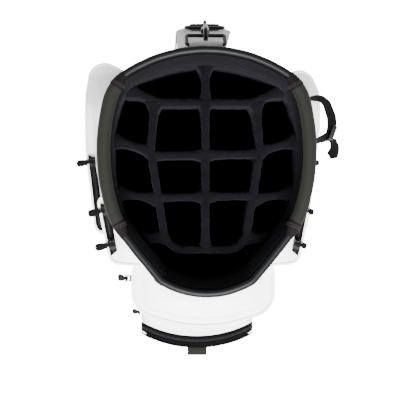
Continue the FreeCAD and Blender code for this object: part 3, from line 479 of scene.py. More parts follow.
# ------------------------------------------------------------------ liner
# A black woven lining is glued inside the stiffened tube, from the tray to the club grid.
# The weave follows the cloth's own length and width, so it turns with every strap and band.
weave, g_in, g_out = group("woven_threads", {"Threads": 900.0}, ["Height", "Tone", "Polish"])
lay = weave.nodes.new("ShaderNodeTexCoord").outputs["UV"]
parts = weave.nodes.new("ShaderNodeSeparateXYZ")
weave.links.new(lay, parts.inputs[0])
across_threads = math_node(weave, "MULTIPLY", parts.outputs["X"], g_in.outputs["Threads"])
along_threads = math_node(weave, "MULTIPLY", parts.outputs["Y"], g_in.outputs["Threads"])
over = math_node(weave, "FLOORED_MODULO", math_node(weave, "ADD", math_node(weave, "FLOOR", across_threads),
    math_node(weave, "FLOOR", along_threads)), 2.0)
warp = math_node(weave, "ABSOLUTE", math_node(weave, "SINE", math_node(weave, "MULTIPLY", across_threads, math.pi)))
weft = math_node(weave, "ABSOLUTE", math_node(weave, "SINE", math_node(weave, "MULTIPLY", along_threads, math.pi)))
lift = math_node(weave, "ADD", math_node(weave, "MULTIPLY", warp, over),
    math_node(weave, "MULTIPLY", weft, math_node(weave, "SUBTRACT", 1.0, over)))
shade = texture(weave, "ShaderNodeTexNoise", lay, 35.0, Detail=4.0, Roughness=0.6).outputs["Fac"]
weave.links.new(lift, g_out.inputs["Height"])
weave.links.new(math_node(weave, "MULTIPLY_ADD", lift, -0.45, math_node(weave, "ADD", shade, 0.25)),
    g_out.inputs["Tone"])
weave.links.new(shade, g_out.inputs["Polish"])

liner_cloth = finish("liner_cloth", (0.003, 0.003, 0.0035), 0.9, weave, {"Threads": 1400.0}, tone=0.3,
    polish=0.06, bump=0.4, depth=0.0003,
                     Specular_IOR_Level=0.08)
LINER_OUT = -0.006
tray_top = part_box("base_tray")[1].z
skin_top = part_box("body_skin")[1].z
point, normal, share = all_round(240, LINER_OUT)
side_points = 40
reach = np.repeat([-0.0001, -0.0018], side_points)
level = np.append(np.linspace(tray_top - 0.005, skin_top - 0.001, side_points),
    np.linspace(skin_top - 0.001, tray_top - 0.005, side_points))
loose = 0.0006 * ripple(share[:, None], level[None], 0.3, 8)
liner = np.concatenate([point[:, None] + normal[:, None] * (reach - np.abs(loose))[..., None],
    np.broadcast_to(level[None, :, None], (240, 80, 1))], -1)
liner = make("body_liner_cloth", [grid(liner, close_u=True, close_v=True)], liner_cloth)
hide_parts("body_liner")

# ------------------------------------------------------------------ moulded collar
# One black moulding crowns the tube: a skirt outside the skin, a saddle below each handle, and between the
# handles a tall wall
# with a round bead along its top. It is held by the skin's turned edge and the snaps.
rim_z = sum((corner.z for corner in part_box("handle_bars")), 0.0) / 2
RIM_BEAD = 0.0048
SADDLE_BEAD_Z = skin_top + 0.020 - RIM_BEAD
HANDLE_BACK, HANDLE_FRONT = 47.0, -37.0
SLOPE = 6.0


def wall_height(share):
    """1 where the collar is at full height and 0 beside a handle, eased over the slope that each cuff covers."""
    folded = np.minimum(share % 1.0, 1.0 - share % 1.0)
    a, b = share_at(HANDLE_BACK), share_at(HANDLE_BACK - SLOPE)
    c, d = share_at(HANDLE_FRONT + SLOPE), share_at(HANDLE_FRONT)
    sunk = np.minimum(np.clip((folded - a) / (b - a), 0, 1), np.clip((d - folded) / (d - c), 0, 1))
    return 1.0 - sunk * sunk * (3.0 - 2.0 * sunk)


point, normal, share = all_round(720, 0.0)
middle = SADDLE_BEAD_Z + (rim_z - SADDLE_BEAD_Z) * wall_height(share)
turn = np.radians(np.linspace(-50, 230, 19))
foot = np.array([(-0.0030, 0.0003), (-0.0022, 0.0), (-0.0008, 0.0), (0.0, 0.0008), (0.0, 0.006), (0.0, 0.022),
    (0.0, 0.030)])
inner = np.array([(-0.0090, 0.034), (-0.0090, 0.0262), (-0.0032, 0.0258), (-0.0030, 0.014)])
bead = np.stack([-RIM_BEAD + RIM_BEAD * np.cos(turn), RIM_BEAD * np.sin(turn)], -1)
reach = np.concatenate([foot[:, 0], [-0.0007, -0.0012], bead[:, 0], [-0.0084, -0.0088], inner[:, 0]])
height = np.concatenate([collar_foot + foot[:, 1], [-0.0085, -0.0060], bead[:, 1], [-0.0060, -0.0085],
    collar_foot + inner[:, 1]])
follows = np.concatenate([np.zeros(7), np.ones(2 + 19 + 2), np.zeros(4)])
level = height[None] + follows[None] * middle[:, None]
wobble = 0.00015 * ripple(share[:, None], level, 0.05, 11)
collar = np.concatenate([point[:, None] + normal[:, None] * (reach[None] + wobble)[..., None], level[..., None]],
    -1)
collar_satin = finish("collar_satin_black", (0.0024, 0.0026, 0.0032), 0.50, moulding,
    {"Spark": 1100.0, "Wave": 45.0},
                      tone=0.25, polish=0.08, bump=0.28, depth=0.0004, Specular_IOR_Level=0.13)
collar = make("top_collar_moulding", [grid(collar, close_u=True, close_v=True)], collar_satin)
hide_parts("top_collar")

# ------------------------------------------------------------------ collar lining
# Black brushed cloth is sewn under the bead and tucked down over the divider ring. It hangs a little slack, so it
# creases, most of all where it is gathered under the handle cuffs.
plush, g_in, g_out = group("brushed_pile", {"Pile": 1500.0, "Stroke": 60.0}, ["Height", "Tone", "Polish"])
where = plush.nodes.new("ShaderNodeTexCoord").outputs["Object"]
pile = texture(plush, "ShaderNodeTexNoise", where, g_in.outputs["Pile"], Detail=4.0, Roughness=0.8).outputs["Fac"]
stroke = texture(plush, "ShaderNodeTexNoise", where, g_in.outputs["Stroke"], Detail=4.0, Roughness=0.65,
    Distortion=1.2).outputs["Fac"]
tuft = texture(plush, "ShaderNodeTexNoise", where, 320.0, Detail=3.0, Roughness=0.6).outputs["Fac"]
plush.links.new(math_node(plush, "ADD", math_node(plush, "MULTIPLY", pile, 0.5),
    math_node(plush, "MULTIPLY_ADD", tuft, 0.7, math_node(plush, "MULTIPLY", stroke, 0.6))), g_out.inputs["Height"])
plush.links.new(math_node(plush, "SMOOTH_MIN", math_node(plush, "MULTIPLY_ADD", stroke, 1.6,
    math_node(plush, "MULTIPLY_ADD", pile, 0.5, -0.62)), 1.0, 0.1), g_out.inputs["Tone"])
plush.links.new(stroke, g_out.inputs["Polish"])

lining_cloth = finish("lining_cloth", (0.0036, 0.0034, 0.0040), 0.85, plush, {"Pile": 1900.0, "Stroke": 45.0},
    tint=(0.0020, 0.0019, 0.0022),
                      polish=0.08, bump=0.6, depth=0.0008, Specular_IOR_Level=0.06, Sheen_Weight=0.03,
                      Sheen_Roughness=0.45, Sheen_Tint=(0.45, 0.42, 0.52, 1))
grid_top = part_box("divider_ring")[1].z
point, normal, share = all_round(720, 0.0)
top = SADDLE_BEAD_Z + (rim_z - SADDLE_BEAD_Z) * wall_height(share) - 0.0015
v = np.linspace(0, 1, 26)
slack = np.sin(math.pi * v)[None]
fall = 0.5 + 0.5 * wall_height(share)[:, None]
folded = np.minimum(share, 1 - share)
near_cuff = np.exp(-((folded - share_at(HANDLE_BACK
    + 6)) / 0.018) ** 2) + np.exp(-((folded - share_at(HANDLE_FRONT - 6)) / 0.014) ** 2)
walk = share[:, None] * 0.86
creases = 0.0012 * ripple(walk, v[None] * 0.02, 0.085, 21) + 0.0006 * ripple(walk, v[None] * 0.05, 0.022, 22)
gathers = 0.0011 * near_cuff[:, None] * np.sin(walk * 2 * math.pi / 0.0065 + 3 * v[None])
reach = -0.0095 - 0.0070 * v[None] ** 0.8 + (creases + gathers - 0.0022) * slack * fall
level = top[:, None] + (grid_top - 0.0025 - top[:, None]) * v[None]
sheet = np.concatenate([point[:, None] + normal[:, None] * reach[..., None], level[..., None]], -1)
lining = make("collar_lining_cloth", [grid(sheet, close_u=True)], lining_cloth)
lining.data.flip_normals()
thicken(lining, 0.0010)
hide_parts("collar_lining")

# ------------------------------------------------------------------ lift handles
# On each side the rim turns into a lift handle: a moulded core in the line of the bead, with an olive
# foam-rubber sleeve
# pushed over it. A black cloth cuff, sewn with two rows of red-brown thread, hides each end of the sleeve.
foam_rubber = finish("olive_foam_rubber", (0.0066, 0.0066, 0.0051), 0.78, moulding, {"Spark": 2600.0, "Wave": 60.0},
                     tone=0.10, polish=0.08, bump=0.45, depth=0.0004, Specular_IOR_Level=0.12, Sheen_Weight=0.02)
cuff_cloth = finish("cuff_cloth", (0.0036, 0.0029, 0.0031), 0.82, plush, {"Pile": 2200.0}, tone=0.2, bump=0.4,
    depth=0.0004, Specular_IOR_Level=0.08)
rust_thread = finish("rust_thread", (0.020, 0.0085, 0.0080), 0.75, moulding, {"Spark": 5000.0}, tone=0.2,
    bump=0.3, depth=0.0002)
core_plastic = finish("handle_core_plastic", (0.07, 0.07, 0.07), 0.5, moulding, {}, tone=0.15, bump=0.2,
    depth=0.0003)
dress(core_plastic, "handle_bars")
HANDLE_IN = -0.0076
SLEEVE_GAP, CUFF_OVER, CUFF_BACK = 0.010, 0.012, 0.007
ROUND = float(np.linalg.norm(np.diff(round_the_bag(1441)[0], axis=0), axis=1).sum())
sleeves, cuffs, threads = [], [], []
for side in (1, -1):
    start, stop = share_at(HANDLE_BACK) + SLEEVE_GAP / ROUND, share_at(HANDLE_FRONT) - SLEEVE_GAP / ROUND
    plan, normal, share = round_the_bag(120, HANDLE_IN, start, stop)
    path = np.column_stack([plan[:, 0] * side, plan[:, 1], np.full(120, rim_z)])
    along = np.linspace(0, 0.26, 120)
    radius = 0.0079 - 0.0007 * np.exp(-np.minimum(along, 0.26 - along) / 0.0012) + 0.00012 * ripple(along,
        0 * along, 0.06, 5)
    sleeves.append(tube(path, radius, 32))
    for root, way in ((share_at(HANDLE_BACK), 1), (share_at(HANDLE_FRONT), -1)):
        t = np.linspace(0, 1, 40)
        ease = t * t * (3 - 2 * t)
        near, far = root - way * CUFF_BACK / ROUND, root + way * CUFF_OVER / ROUND
        plan, normal, share = round_the_bag(40, -0.0050 + (HANDLE_IN + 0.0050) * ease, near, far)
        path = np.column_stack([plan[:, 0] * side, plan[:, 1], np.full(40, rim_z)])
        ridge = 0.00035 * (np.exp(-((t - 0.66) / 0.025) ** 2) + np.exp(-((t - 0.80) / 0.025) ** 2))
        radius = 0.0053 + 0.0033 * ease - ridge - 0.0008 * np.exp(-(1 - t) / 0.02) + 0.0001 * ripple(t, 0 * t,
            0.3, 9)
        cuffs.append(tube(path, radius, 28))
        for station in (26, 31):
            ahead = path[station + 1] - path[station - 1]
            ahead /= np.linalg.norm(ahead)
            across = np.cross(ahead, (0, 0, 1))
            turn = np.linspace(0, 2 * math.pi, 61)
            spoke = np.cos(turn)[:, None] * across + np.sin(turn)[:, None] * np.array([0, 0, 1.0])
            threads.append(stitch_row(path[station] + spoke * (radius[station] + 0.0003), spoke, 0.0031, 0.0024,
                0.0008))
sleeve = make("handle_sleeve_foam", sleeves, foam_rubber)
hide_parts("handle_sleeves")
cuff = make("handle_cuff_cloth", cuffs, cuff_cloth)
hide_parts("handle_cuffs")
make("handle_cuff_stitches", threads, rust_thread)

# ------------------------------------------------------------------ divider ring
# A moulded ring in the collar's foot carries the club dividers; it is covered with the same black plush as
# they are.
pile_cloth = finish("divider_plush", (0.0030, 0.0028, 0.0036), 0.9, plush, {"Pile": 1500.0, "Stroke": 38.0},
    tint=(0.0010, 0.0009, 0.0013),
                    polish=0.06, bump=0.8, depth=0.0012, Specular_IOR_Level=0.04, Sheen_Weight=0.035,
                    Sheen_Roughness=0.5, Sheen_Tint=(0.42, 0.38, 0.50, 1))
grid_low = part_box("divider_ring")[0].z
point, normal, share = all_round(480, 0.0)
turn = np.linspace(0, math.pi, 11)
reach = np.concatenate([np.full(6, -0.0092), -0.0136 + 0.0044 * np.cos(turn), np.full(12, -0.0180)])
level = np.concatenate([np.linspace(grid_low, grid_top - 0.008, 6), grid_top - 0.0045 + 0.0044 * np.sin(turn),
    np.linspace(grid_top - 0.006, grid_low, 12)])
shaggy = 0.0004 * ripple(share[:, None] * 0.85, level[None], 0.018, 31)
ring = np.concatenate([point[:, None] + normal[:, None] * (reach[None] + shaggy)[..., None],
    np.broadcast_to(level[None, :, None], (480, 29, 1))], -1)
ring = make("divider_ring_plush", [grid(ring, close_u=True, close_v=True)], pile_cloth)
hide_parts("divider_ring")

# ------------------------------------------------------------------ club dividers
# Foam-cored walls covered in plush: a curved shield in the middle, a back wall with winged ends, a long centre
# wall and short
# cross bars. They are sewn together where they meet, so each joint swells a little, and thin sheets hang below
# them.


def beyond(xy, out):
    """How far each plan point lies outside the outline moved out by that much, measured from the bag's axis."""
    edge = round_the_bag(1441, out)[0][:-1]
    angle, radius = np.arctan2(edge[:, 1], edge[:, 0]), np.hypot(edge[:, 0], edge[:, 1])
    order = np.argsort(angle)
    return np.hypot(xy[:, 0], xy[:, 1]) - np.interp(np.arctan2(xy[:, 1], xy[:, 0]), angle[order], radius[order],
        period=2 * math.pi)


def respaced(path, count):
    """The same path as count points spaced evenly by length."""
    run = walked(path)
    at = np.linspace(0, run[-1], count)
    return picked(at, run, path)


def bent(corners, count):
    """Straight runs joined by tangent arcs through (x, y, radius) corners, in metres. The arc's centre lies on
    the corner's
    bisector at radius / sin(half the corner's angle); the arc itself is swept by interpolating unit spokes."""
    pieces = []
    for i, (x, y, r) in enumerate(corners):
        here = np.array([x, y])
        if r == 0:
            pieces.append(here[None])
            continue
        a, b = np.array(corners[i - 1][:2]) - here, np.array(corners[i + 1][:2]) - here
        a, b = a / np.linalg.norm(a), b / np.linalg.norm(b)
        half = math.acos(np.clip(a @ b, -1, 1)) / 2
        centre = here + (a + b) / np.linalg.norm(a + b) * r / math.sin(half)
        spokes = here + np.array([a, b]) * r / math.tan(half) - centre
        t = np.linspace(0, 1, 15)[:, None]
        sweep = spokes[0] * (1 - t) + spokes[1] * t
        pieces.append(centre + sweep / np.linalg.norm(sweep, axis=1, keepdims=True) * r)
    return respaced(np.vstack(pieces), count)


def plush_wall(path, low, top, half, flare, nose, seed, rough_by=0.00045):
    """An upright wall along a plan path, as P[u, v]: v runs up one side, over a half-round top and down the other.
    Each end swells by its flare with exp(-(d/8.5 mm)^1.5), or tapers to a rounded nose as the square root of a
    circle."""
    ahead = np.gradient(path, axis=0)
    ahead = unit(ahead)
    side = np.stack([-ahead[:, 1], ahead[:, 0]], -1)
    run = walked(path)
    ends = (run, run[-1] - run)
    wide, drop = np.full(len(run), half), np.zeros(len(run))
    for d, swell, round_end in zip(ends, flare, nose):
        wide = wide + swell * np.exp(-((d / 0.0085) ** 1.5))
        if round_end:
            taper = np.sqrt(1 - (1 - np.clip(d / 0.005 + 0.03, 0, 1)) ** 2)
            wide, drop = wide * taper, drop + 0.004 * (1 - taper)
    turn = np.linspace(0, math.pi, 11)
    rise = np.linspace(0, 1, 9)[:-1]
    s = np.concatenate([np.full(8, -1.0), -np.cos(turn), np.full(8, 1.0)])
    straight = np.concatenate([rise, np.ones(11), rise[::-1]])
    cap_up = np.concatenate([np.zeros(8), np.sin(turn), np.zeros(8)])
    shoulder = top - drop - np.maximum(wide, 0.001)
    level = low + (shoulder[:, None] - low) * straight[None] + wide[:, None] * cap_up[None]
    shaggy = rough_by * ripple(run[:, None] + 0.3 * s[None] * half, level, 0.016,
        seed) + 0.5 * rough_by * ripple(run[:, None], level + s[None] * 0.01, 0.006, seed + 1)
    out = s[None] * (wide[:, None] + shaggy)
    level = level + shaggy * cap_up[None]
    wall = np.concatenate([path[:, None] + side[:, None] * out[..., None], level[..., None]], -1)
    return grid(wall, close_v=True, cap=True)


WALL_HALF = 0.0046
back_bend = [(-0.110, 0.1075, 0), (-0.055, 0.084, 0.030), (0.055, 0.084, 0.030), (0.110, 0.1075, 0)]
shield_bend = [(-0.0605, 0.084, 0), (-0.065, 0.026, 0.10), (-0.0485, -0.076, 0.022), (-0.0365, -0.091, 0.022),
               (0.0365, -0.091, 0.022), (0.0485, -0.076, 0.022), (0.065, 0.026, 0.10), (0.0605, 0.084, 0)]
side_bars = [((0.064, 0.026), (0.125, 0.044)), ((0.0585, -0.030), (0.125, -0.021)),
    ((0.049, -0.075), (0.110, -0.0865))]


def to_ring(path, out):
    """The part of a plan path that lies inside the divider ring."""
    return path[beyond(path, out) < 0]


plans = {
    "back_divider": [(to_ring(bent(back_bend, 260), -0.0165), (0.006, 0.006), (False, False))],
    "shield_divider": [(bent(shield_bend, 320), (0.0060, 0.0060), (False, False))],
    "centre_divider": [(respaced(np.array([(0, 0.0860), (0, -0.0885)]), 140), (0.0065, 0.0030), (False, False)),
                       (to_ring(respaced(np.array([(0, 0.0820), (0, 0.150)]), 90), -0.0165), (0.0060, 0.0060),
                           (False, False))],
    "centre_crossbars": [(respaced(np.array([(0.001 * side, y), (side * (0.0625 - 0.0001 * abs(y - 0.022) * 1000),
        y + 0.0012 * side)]), 70),
                          (0.0050, 0.0022), (False, True)) for y in (0.022, -0.028) for side in (1, -1)],
    "outer_crossbars": [(to_ring(respaced(np.array(bar), 110) * (side, 1), -0.0165), (0.0060, 0.0060),
        (False, False))
                        for bar in side_bars for side in (1, -1)],
}
for order, (node, walls) in enumerate(plans.items()):
    lift = {"centre_crossbars": 0.0012, "centre_divider": 0.0004, "outer_crossbars": -0.0008}.get(node, 0.0)
    grids = [plush_wall(path, grid_low, grid_top + lift, WALL_HALF, flare, nose, 40 + 7 * order + k) for k,
        (path, flare, nose) in enumerate(walls)]
    piece = make(node + "_plush", grids, pile_cloth)
    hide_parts(node)

sheets = []
for order, walls in enumerate(plans.values()):
    for k, (path, flare, nose) in enumerate(walls):
        sheets.append(plush_wall(path[3:-3:3], tray_top, grid_low + 0.002, 0.0012, (0, 0), (False, False),
            90 + 5 * order + k, 0.0001))
sheets = make("divider_sheet_cloth", sheets, liner_cloth)
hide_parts("divider_sheets")

# ------------------------------------------------------------------ pockets
# Each pocket is a pouch of the white coated cloth sewn to the skin: one gusset strip runs round its plan, a
# roof and a floor
# are sewn to it over a piped edge, and the cloth is slack enough to puff out a little.
EDGE = 0.0055


def pouch_frame(corners, count=170):
    """Plan path of a pocket's gusset outside the skin, the line it faces on the skin, and its outward direction."""
    path = bent([(x / 1000, y / 1000, r / 1000) for x, y, r in corners], 700)
    path = respaced(path[beyond(path, SKIN_OUT) > -0.001], count)
    edge, _, share = round_the_bag(1441, SKIN_OUT)
    near = [share[np.argmin(np.linalg.norm(edge - end, axis=1))] for end in (path[0], path[-1])]
    skin_side = round_the_bag(count, SKIN_OUT - 0.0008, *near)[0]
    ahead = np.gradient(path, axis=0)
    out = np.stack([ahead[:, 1], -ahead[:, 0]], -1) / np.linalg.norm(ahead, axis=1, keepdims=True)
    if ((path - skin_side) * out).sum() < 0:
        out = -out
    return path, skin_side, out


def pouch(path, skin_side, out, low, high, puff, crown, seed, calm=1.0, zip_band=0.013):
    """P[u, v] of a pouch: v crosses the roof from the skin, rounds the piped edge, runs down the gusset and
    returns under the floor.
    The gusset swells by puff * sin(pi t)^0.7, times calm where a zip holds it flat, and the roof rises by
    crown * sin(pi s)
    inwards of the flat band for the zip."""
    depth = np.linalg.norm(path - skin_side, axis=1)
    inward = (skin_side - path) / np.maximum(depth, 1e-5)[:, None]
    r = np.minimum(EDGE, depth * 0.45)[:, None]
    k = np.linspace(0, 1, 13)[None, :-1]
    roof_in = r + (depth[:, None] - r) * (1 - k)
    dome = crown * np.sin(math.pi * np.clip((roof_in - zip_band) / np.maximum(depth[:, None] - zip_band, 1e-4), 0,
        1))
    turn = np.linspace(0, math.pi / 2, 7)[None]
    t = np.linspace(0, 1, 64)[None, 1:-1]
    inset = np.concatenate([roof_in, r * (1 - np.sin(turn)), np.zeros((len(path), 62)), r * (1 - np.cos(turn)),
        roof_in[:, ::-1]], 1)
    level = np.concatenate([high + dome, high - r * (1 - np.cos(turn)), high - r + (low - high + 2 * r) * t,
                            low + r * (1 - np.sin(turn)), np.full(roof_in.shape, low)], 1)
    height = np.clip((level - low) / (high - low), 0, 1)
    u = np.linspace(0, 1, len(path))[:, None]
    shape = np.sin(math.pi * height) ** 0.7 * np.clip(np.sin(math.pi * u) * 2.2, 0, 1) * calm
    length = walked(path)[:, None]
    swell = (puff * shape + 0.0011 * shape * ripple(length, level, 0.11, seed) + 0.0005 * ripple(length * 1.3,
        level * 0.6, 0.03, seed + 1)) * (inset < 1e-6)
    sag = -0.0008 * (inset > 1e-6) * (1 - np.abs(2 * height - 1) ** 8)
    plan = path[:, None] + inward[:, None] * inset[..., None] + out[:, None] * (swell + sag)[..., None]
    return np.concatenate([plan, level[..., None]], -1)


def droop(P, low, high, amount):
    """Lets a pocket's slack roof sink behind y = 80 mm: z falls by amount * smoothstep(y) * share^4 of the
    pocket's height."""
    P = np.array(P, float)
    back = np.clip((P[..., 1] - 0.080) / 0.075, 0, 1)
    share = np.clip((P[..., 2] - low) / (high - low), 0, 1.1)
    P[..., 2] -= amount * back * back * (3 - 2 * back) * share ** 4
    return P


def softened(wave, power):
    """A superellipse's coordinate: sign(wave) * |wave|^power, which squares off a circle's cosine or sine
    below power 1."""
    return np.sign(wave) * np.abs(wave) ** power


def band(path, across, up, width, thick, sides=8):
    """A strap along a 3-D path as a closed flat section: a superellipse |x/a|^4 + |y/b|^2 = 1 of that width
    and thickness,
    its width lying along across and its thickness along up, so that its edges are soft."""
    path, across, up = np.asarray(path, float), np.broadcast_to(across, path.shape), np.broadcast_to(up, path.shape)
    turn = np.arange(4 * sides) * 2 * math.pi / (4 * sides)
    wide = softened(np.cos(turn), 0.5) * width / 2
    high = softened(np.sin(turn), 0.8) * thick / 2
    ring = path[:, None] + wide[None, :, None] * across[:, None] + high[None, :, None] * up[:, None]
    return grid(ring, close_v=True, cap=True)


def teeth(path, up, pitch=0.0019, length=0.0042, width=0.0015):
    """Coil teeth down the middle of a zip: the same lozenges as the stitches, laid across the path one per
    pitch."""
    path, up = np.asarray(path, float), np.broadcast_to(up, np.shape(path))
    run = walked(path)
    at = np.arange(pitch, run[-1] - pitch, pitch)
    place = picked(at, run, path)
    ahead = picked(at + 1e-4, run, path) - picked(at - 1e-4, run, path)
    ahead = unit(ahead)
    rise = picked(at, run, up)
    across = np.cross(ahead, rise)
    box = np.array([(-1, -1, 0), (1, -1, 0), (1, 1, 0), (-1, 1, 0), (-0.8, -0.5, 1), (0.8, -0.5, 1),
        (0.8, 0.5, 1), (-0.8, 0.5, 1)]) * (length / 2, width / 2, 0.0009)
    every = place[:, None] + box[None, :, :1] * across[:, None] + box[None, :, 1:2] * ahead[:, None] + box[None,
        :, 2:] * rise[:, None]
    faces = np.array([(0, 3, 2, 1), (4, 5, 6, 7), (0, 1, 5, 4), (1, 2, 6, 5), (2, 3, 7, 6), (3, 0, 4, 7)])
    faces = (faces[None] + (np.arange(len(at)) * 8)[:, None, None]).reshape(-1, 4)
    return every.reshape(-1, 3), [faces], np.zeros((len(at) * 8, 2))


zip_cloth = finish("zip_tape_cloth", (0.0024, 0.0019, 0.0024), 0.85, weave, {"Threads": 1300.0}, tone=0.3,
    bump=0.5, depth=0.0003,
                   Specular_IOR_Level=0.05)
zip_coil = finish("zip_coil_nylon", (0.0018, 0.0016, 0.0018), 0.5, moulding, {"Spark": 4000.0}, tone=0.2,
    bump=0.2, depth=0.0001,
                  Specular_IOR_Level=0.25)
RIGHT_EAR = [(88, 100, 0), (101, 128, 4), (143, 149, 18), (157, 112, 40), (156, 60, 40), (151, 28, 20),
    (138, -82, 14), (98, -66, 0)]
LEFT_EAR = [(88, 100, 0), (102, 140, 6), (146, 162, 20), (152, 108, 60), (152, 60, 40), (151, 28, 20),
    (138, -82, 14), (98, -66, 0)]
SMALL = [(104, -18, 0), (129, -32, 8), (113, -108, 12), (76, -111, 0)]
FRONT = [(-40, -108, 0), (-88, -116, 6), (-88, -170, 30), (0, -198, 170), (88, -170, 30), (88, -116, 6),
    (40, -108, 0)]
FLANK_ZIP_Y = (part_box("front_pocket_zip")[0].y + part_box("front_pocket_zip")[1].y) / 2
tapes, coils = [], []
for label, corners, swell, crown, zip_from in (("apparel", RIGHT_EAR, 0.0045, 0.0120, (0.030, -0.074)),
    ("side", SMALL, 0.0028, 0.0025, (-0.036, -0.101)),
                                                ("front", FRONT, 0.0050, 0.0050, None)):
    for side, which in ((1, "right"), (-1, "left")):
        if label == "front" and side < 0:
            continue
        node = "front_pocket" if label == "front" else which + "_" + label + "_pocket"
        low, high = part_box(node)[0].z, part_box(node)[1].z
        path, skin_side, out = pouch_frame(LEFT_EAR if label == "apparel" and side < 0 else corners)
        calm = np.clip((np.abs(path[:, 1:] - FLANK_ZIP_Y) - 0.009) / 0.03, 0, 1) if label == "front" else 1.0
        sink = 0.034 if label == "apparel" else 0.0
        surface = droop(pouch(path, skin_side, out, low, high, swell, crown, 60 + len(label) + side, calm), low,
            high, sink)
        flip = np.array([side, 1, 1])
        piece = make(node + "_cloth", [grid(surface * flip)], white_coat)
        thicken(piece, 0.0018)
        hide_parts(node)
        cords, rows = [], []
        for level, step in ((high, -1), (low, 1)):
            cord = np.column_stack([path, np.full(len(path),
                level + step * 0.0009)]) + np.column_stack([out * 0.0002, np.zeros(len(path))])
            cord = droop(cord, low, high, sink)
            cords.append(tube(cord[2:-2] * flip, 0.0019, 8))
            row = droop(np.column_stack([path + out * 0.0004, np.full(len(path), level + step * 0.0085)]), low,
                high, sink)
            rows.append(stitch_row(row[4:-4] * flip, np.column_stack([out, np.zeros(len(path))])[4:-4] * flip))
        for at in (10, -11):
            post = np.column_stack([np.full(90, path[at, 0]), np.full(90, path[at, 1]),
                np.linspace(low + 0.008, high - 0.008, 90)])
            post = droop(post, low, high, sink)
            rows.append(stitch_row((post + np.append(out[at] * 0.0007, 0)) * flip,
                np.tile(np.append(out[at], 0) * flip, (90, 1))))
        make(node + "_piping", cords, white_coat)
        make(node + "_stitches", rows, thread_grey_as_painted_seam_shade)
        if zip_from is not None:
            inward = skin_side - path
            inward /= np.maximum(np.linalg.norm(inward, axis=1, keepdims=True), 1e-5)
            pick = (path[:, 1] < zip_from[0]) & (path[:, 1] > zip_from[1]) & (np.linalg.norm(path - skin_side,
                axis=1) > 0.012)
            run = np.column_stack([path + inward * 0.0062, np.full(len(path), high + 0.0004)])[pick]
            width_way = np.column_stack([inward, np.zeros(len(path))])[pick]
            run, width_way = respaced(run, 120), respaced(width_way, 120)
            width_way = unit(width_way)
            tapes.append(band(run * flip, width_way * flip, (0, 0, 1), 0.0100, 0.0014))
            coils.append(teeth(run * flip + (0, 0, 0.0004), (0, 0, 1)))
tape = make("side_zip_tape_cloth", tapes, zip_cloth)
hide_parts("side_zip_tapes")
make("side_zip_coils", coils, zip_coil)

# ------------------------------------------------------------------ front pocket zip
# An upright zip is sewn into each flank of the front pocket, so that the whole front panel can be opened.
low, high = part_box("front_pocket_zip")
tapes, coils = [], []
for side in (1, -1):
    run = np.column_stack([np.full(120, side * (high.x - 0.0004)), np.full(120, (low.y + high.y) / 2),
        np.linspace(low.z, high.z, 120)])
    tapes.append(band(run, (0, 1, 0), (side, 0, 0), 0.0100, 0.0014))
    coils.append(teeth(run + (side * 0.0004, 0, 0), (side, 0, 0)))
tape = make("front_pocket_zip_cloth", tapes, zip_cloth)
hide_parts("front_pocket_zip")
make("front_pocket_zip_coils", coils, zip_coil)

# ------------------------------------------------------------------ ball pocket
# The biggest pocket is a box of the same cloth over thin board, open at its curved front; a zip runs up one
# flank, over the
# roof and down the other, and the padded front panel folds down on the cloth hinge along its bottom edge.
low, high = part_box("ball_pocket")
door_low, door_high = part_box("ball_pocket_door")
BALL_HALF = high.x
FRONT_RADIUS = 0.178
FRONT_AXIS_Y = door_low.y + FRONT_RADIUS
MOUTH_RADIUS = FRONT_RADIUS - 0.0056
CORNER = 0.010


def box_ring(count, out=0.0):
    """Points (x, z) and outward directions round the pocket's rounded rectangle, from the middle of its floor
    and back to it.
    The corners are quarter circles of the corner radius; out moves every point along its direction."""
    half, z0, z1, r = BALL_HALF, low.z, high.z, CORNER
    corners = [(0, z0, 0), (half, z0, r), (half, z1, r), (-half, z1, r), (-half, z0, r), (0, z0, 0)]
    ring = bent(corners, count + 1)
    ahead = np.gradient(ring, axis=0)
    ahead[[0, -1]] = (1, 0)
    way = np.stack([ahead[:, 1], -ahead[:, 0]], -1) / np.linalg.norm(ahead, axis=1, keepdims=True)
    return (ring + way * out)[:-1], way[:-1]


edge = round_the_bag(1441, SKIN_OUT - 0.001)[0]
edge = edge[(edge[:, 1] < -0.03) & (edge[:, 0] >= 0)]
edge = edge[np.argsort(edge[:, 0])]
ring, way = box_ring(300)
back_y = np.interp(np.abs(ring[:, 0]), edge[:, 0], edge[:, 1])
mouth_y = FRONT_AXIS_Y - np.sqrt(MOUTH_RADIUS ** 2 - np.minimum(np.abs(ring[:, 0]), BALL_HALF) ** 2)
t = np.linspace(0, 1, 40)
y = back_y[:, None] + (mouth_y - back_y)[:, None] * t[None]
slack = np.sin(math.pi * t)[None] * 0.0018 + 0.0009 * ripple(np.arange(300)[:, None] * 0.003, y, 0.09,
    77) * np.sin(math.pi * t)[None]
shell = np.stack([ring[:, None, 0] + way[:, None, 0] * slack, y, ring[:, None, 1] + way[:, None, 1] * slack], -1)
shell = make("ball_pocket_cloth", [grid(shell, close_u=True)], white_coat)
thicken(shell, 0.0022)
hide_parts("ball_pocket")
mouth = np.column_stack([ring[:, 0], mouth_y, ring[:, 1]])
rows = [stitch_row(np.column_stack([ring[:, 0] + way[:, 0] * 0.0012, mouth_y + 0.0165,
    ring[:, 1] + way[:, 1] * 0.0012])[20:-20], np.column_stack([way[:, 0], 0 * mouth_y, way[:, 1]])[20:-20])]
make("ball_pocket_stitches", rows, thread_grey_as_painted_seam_shade)

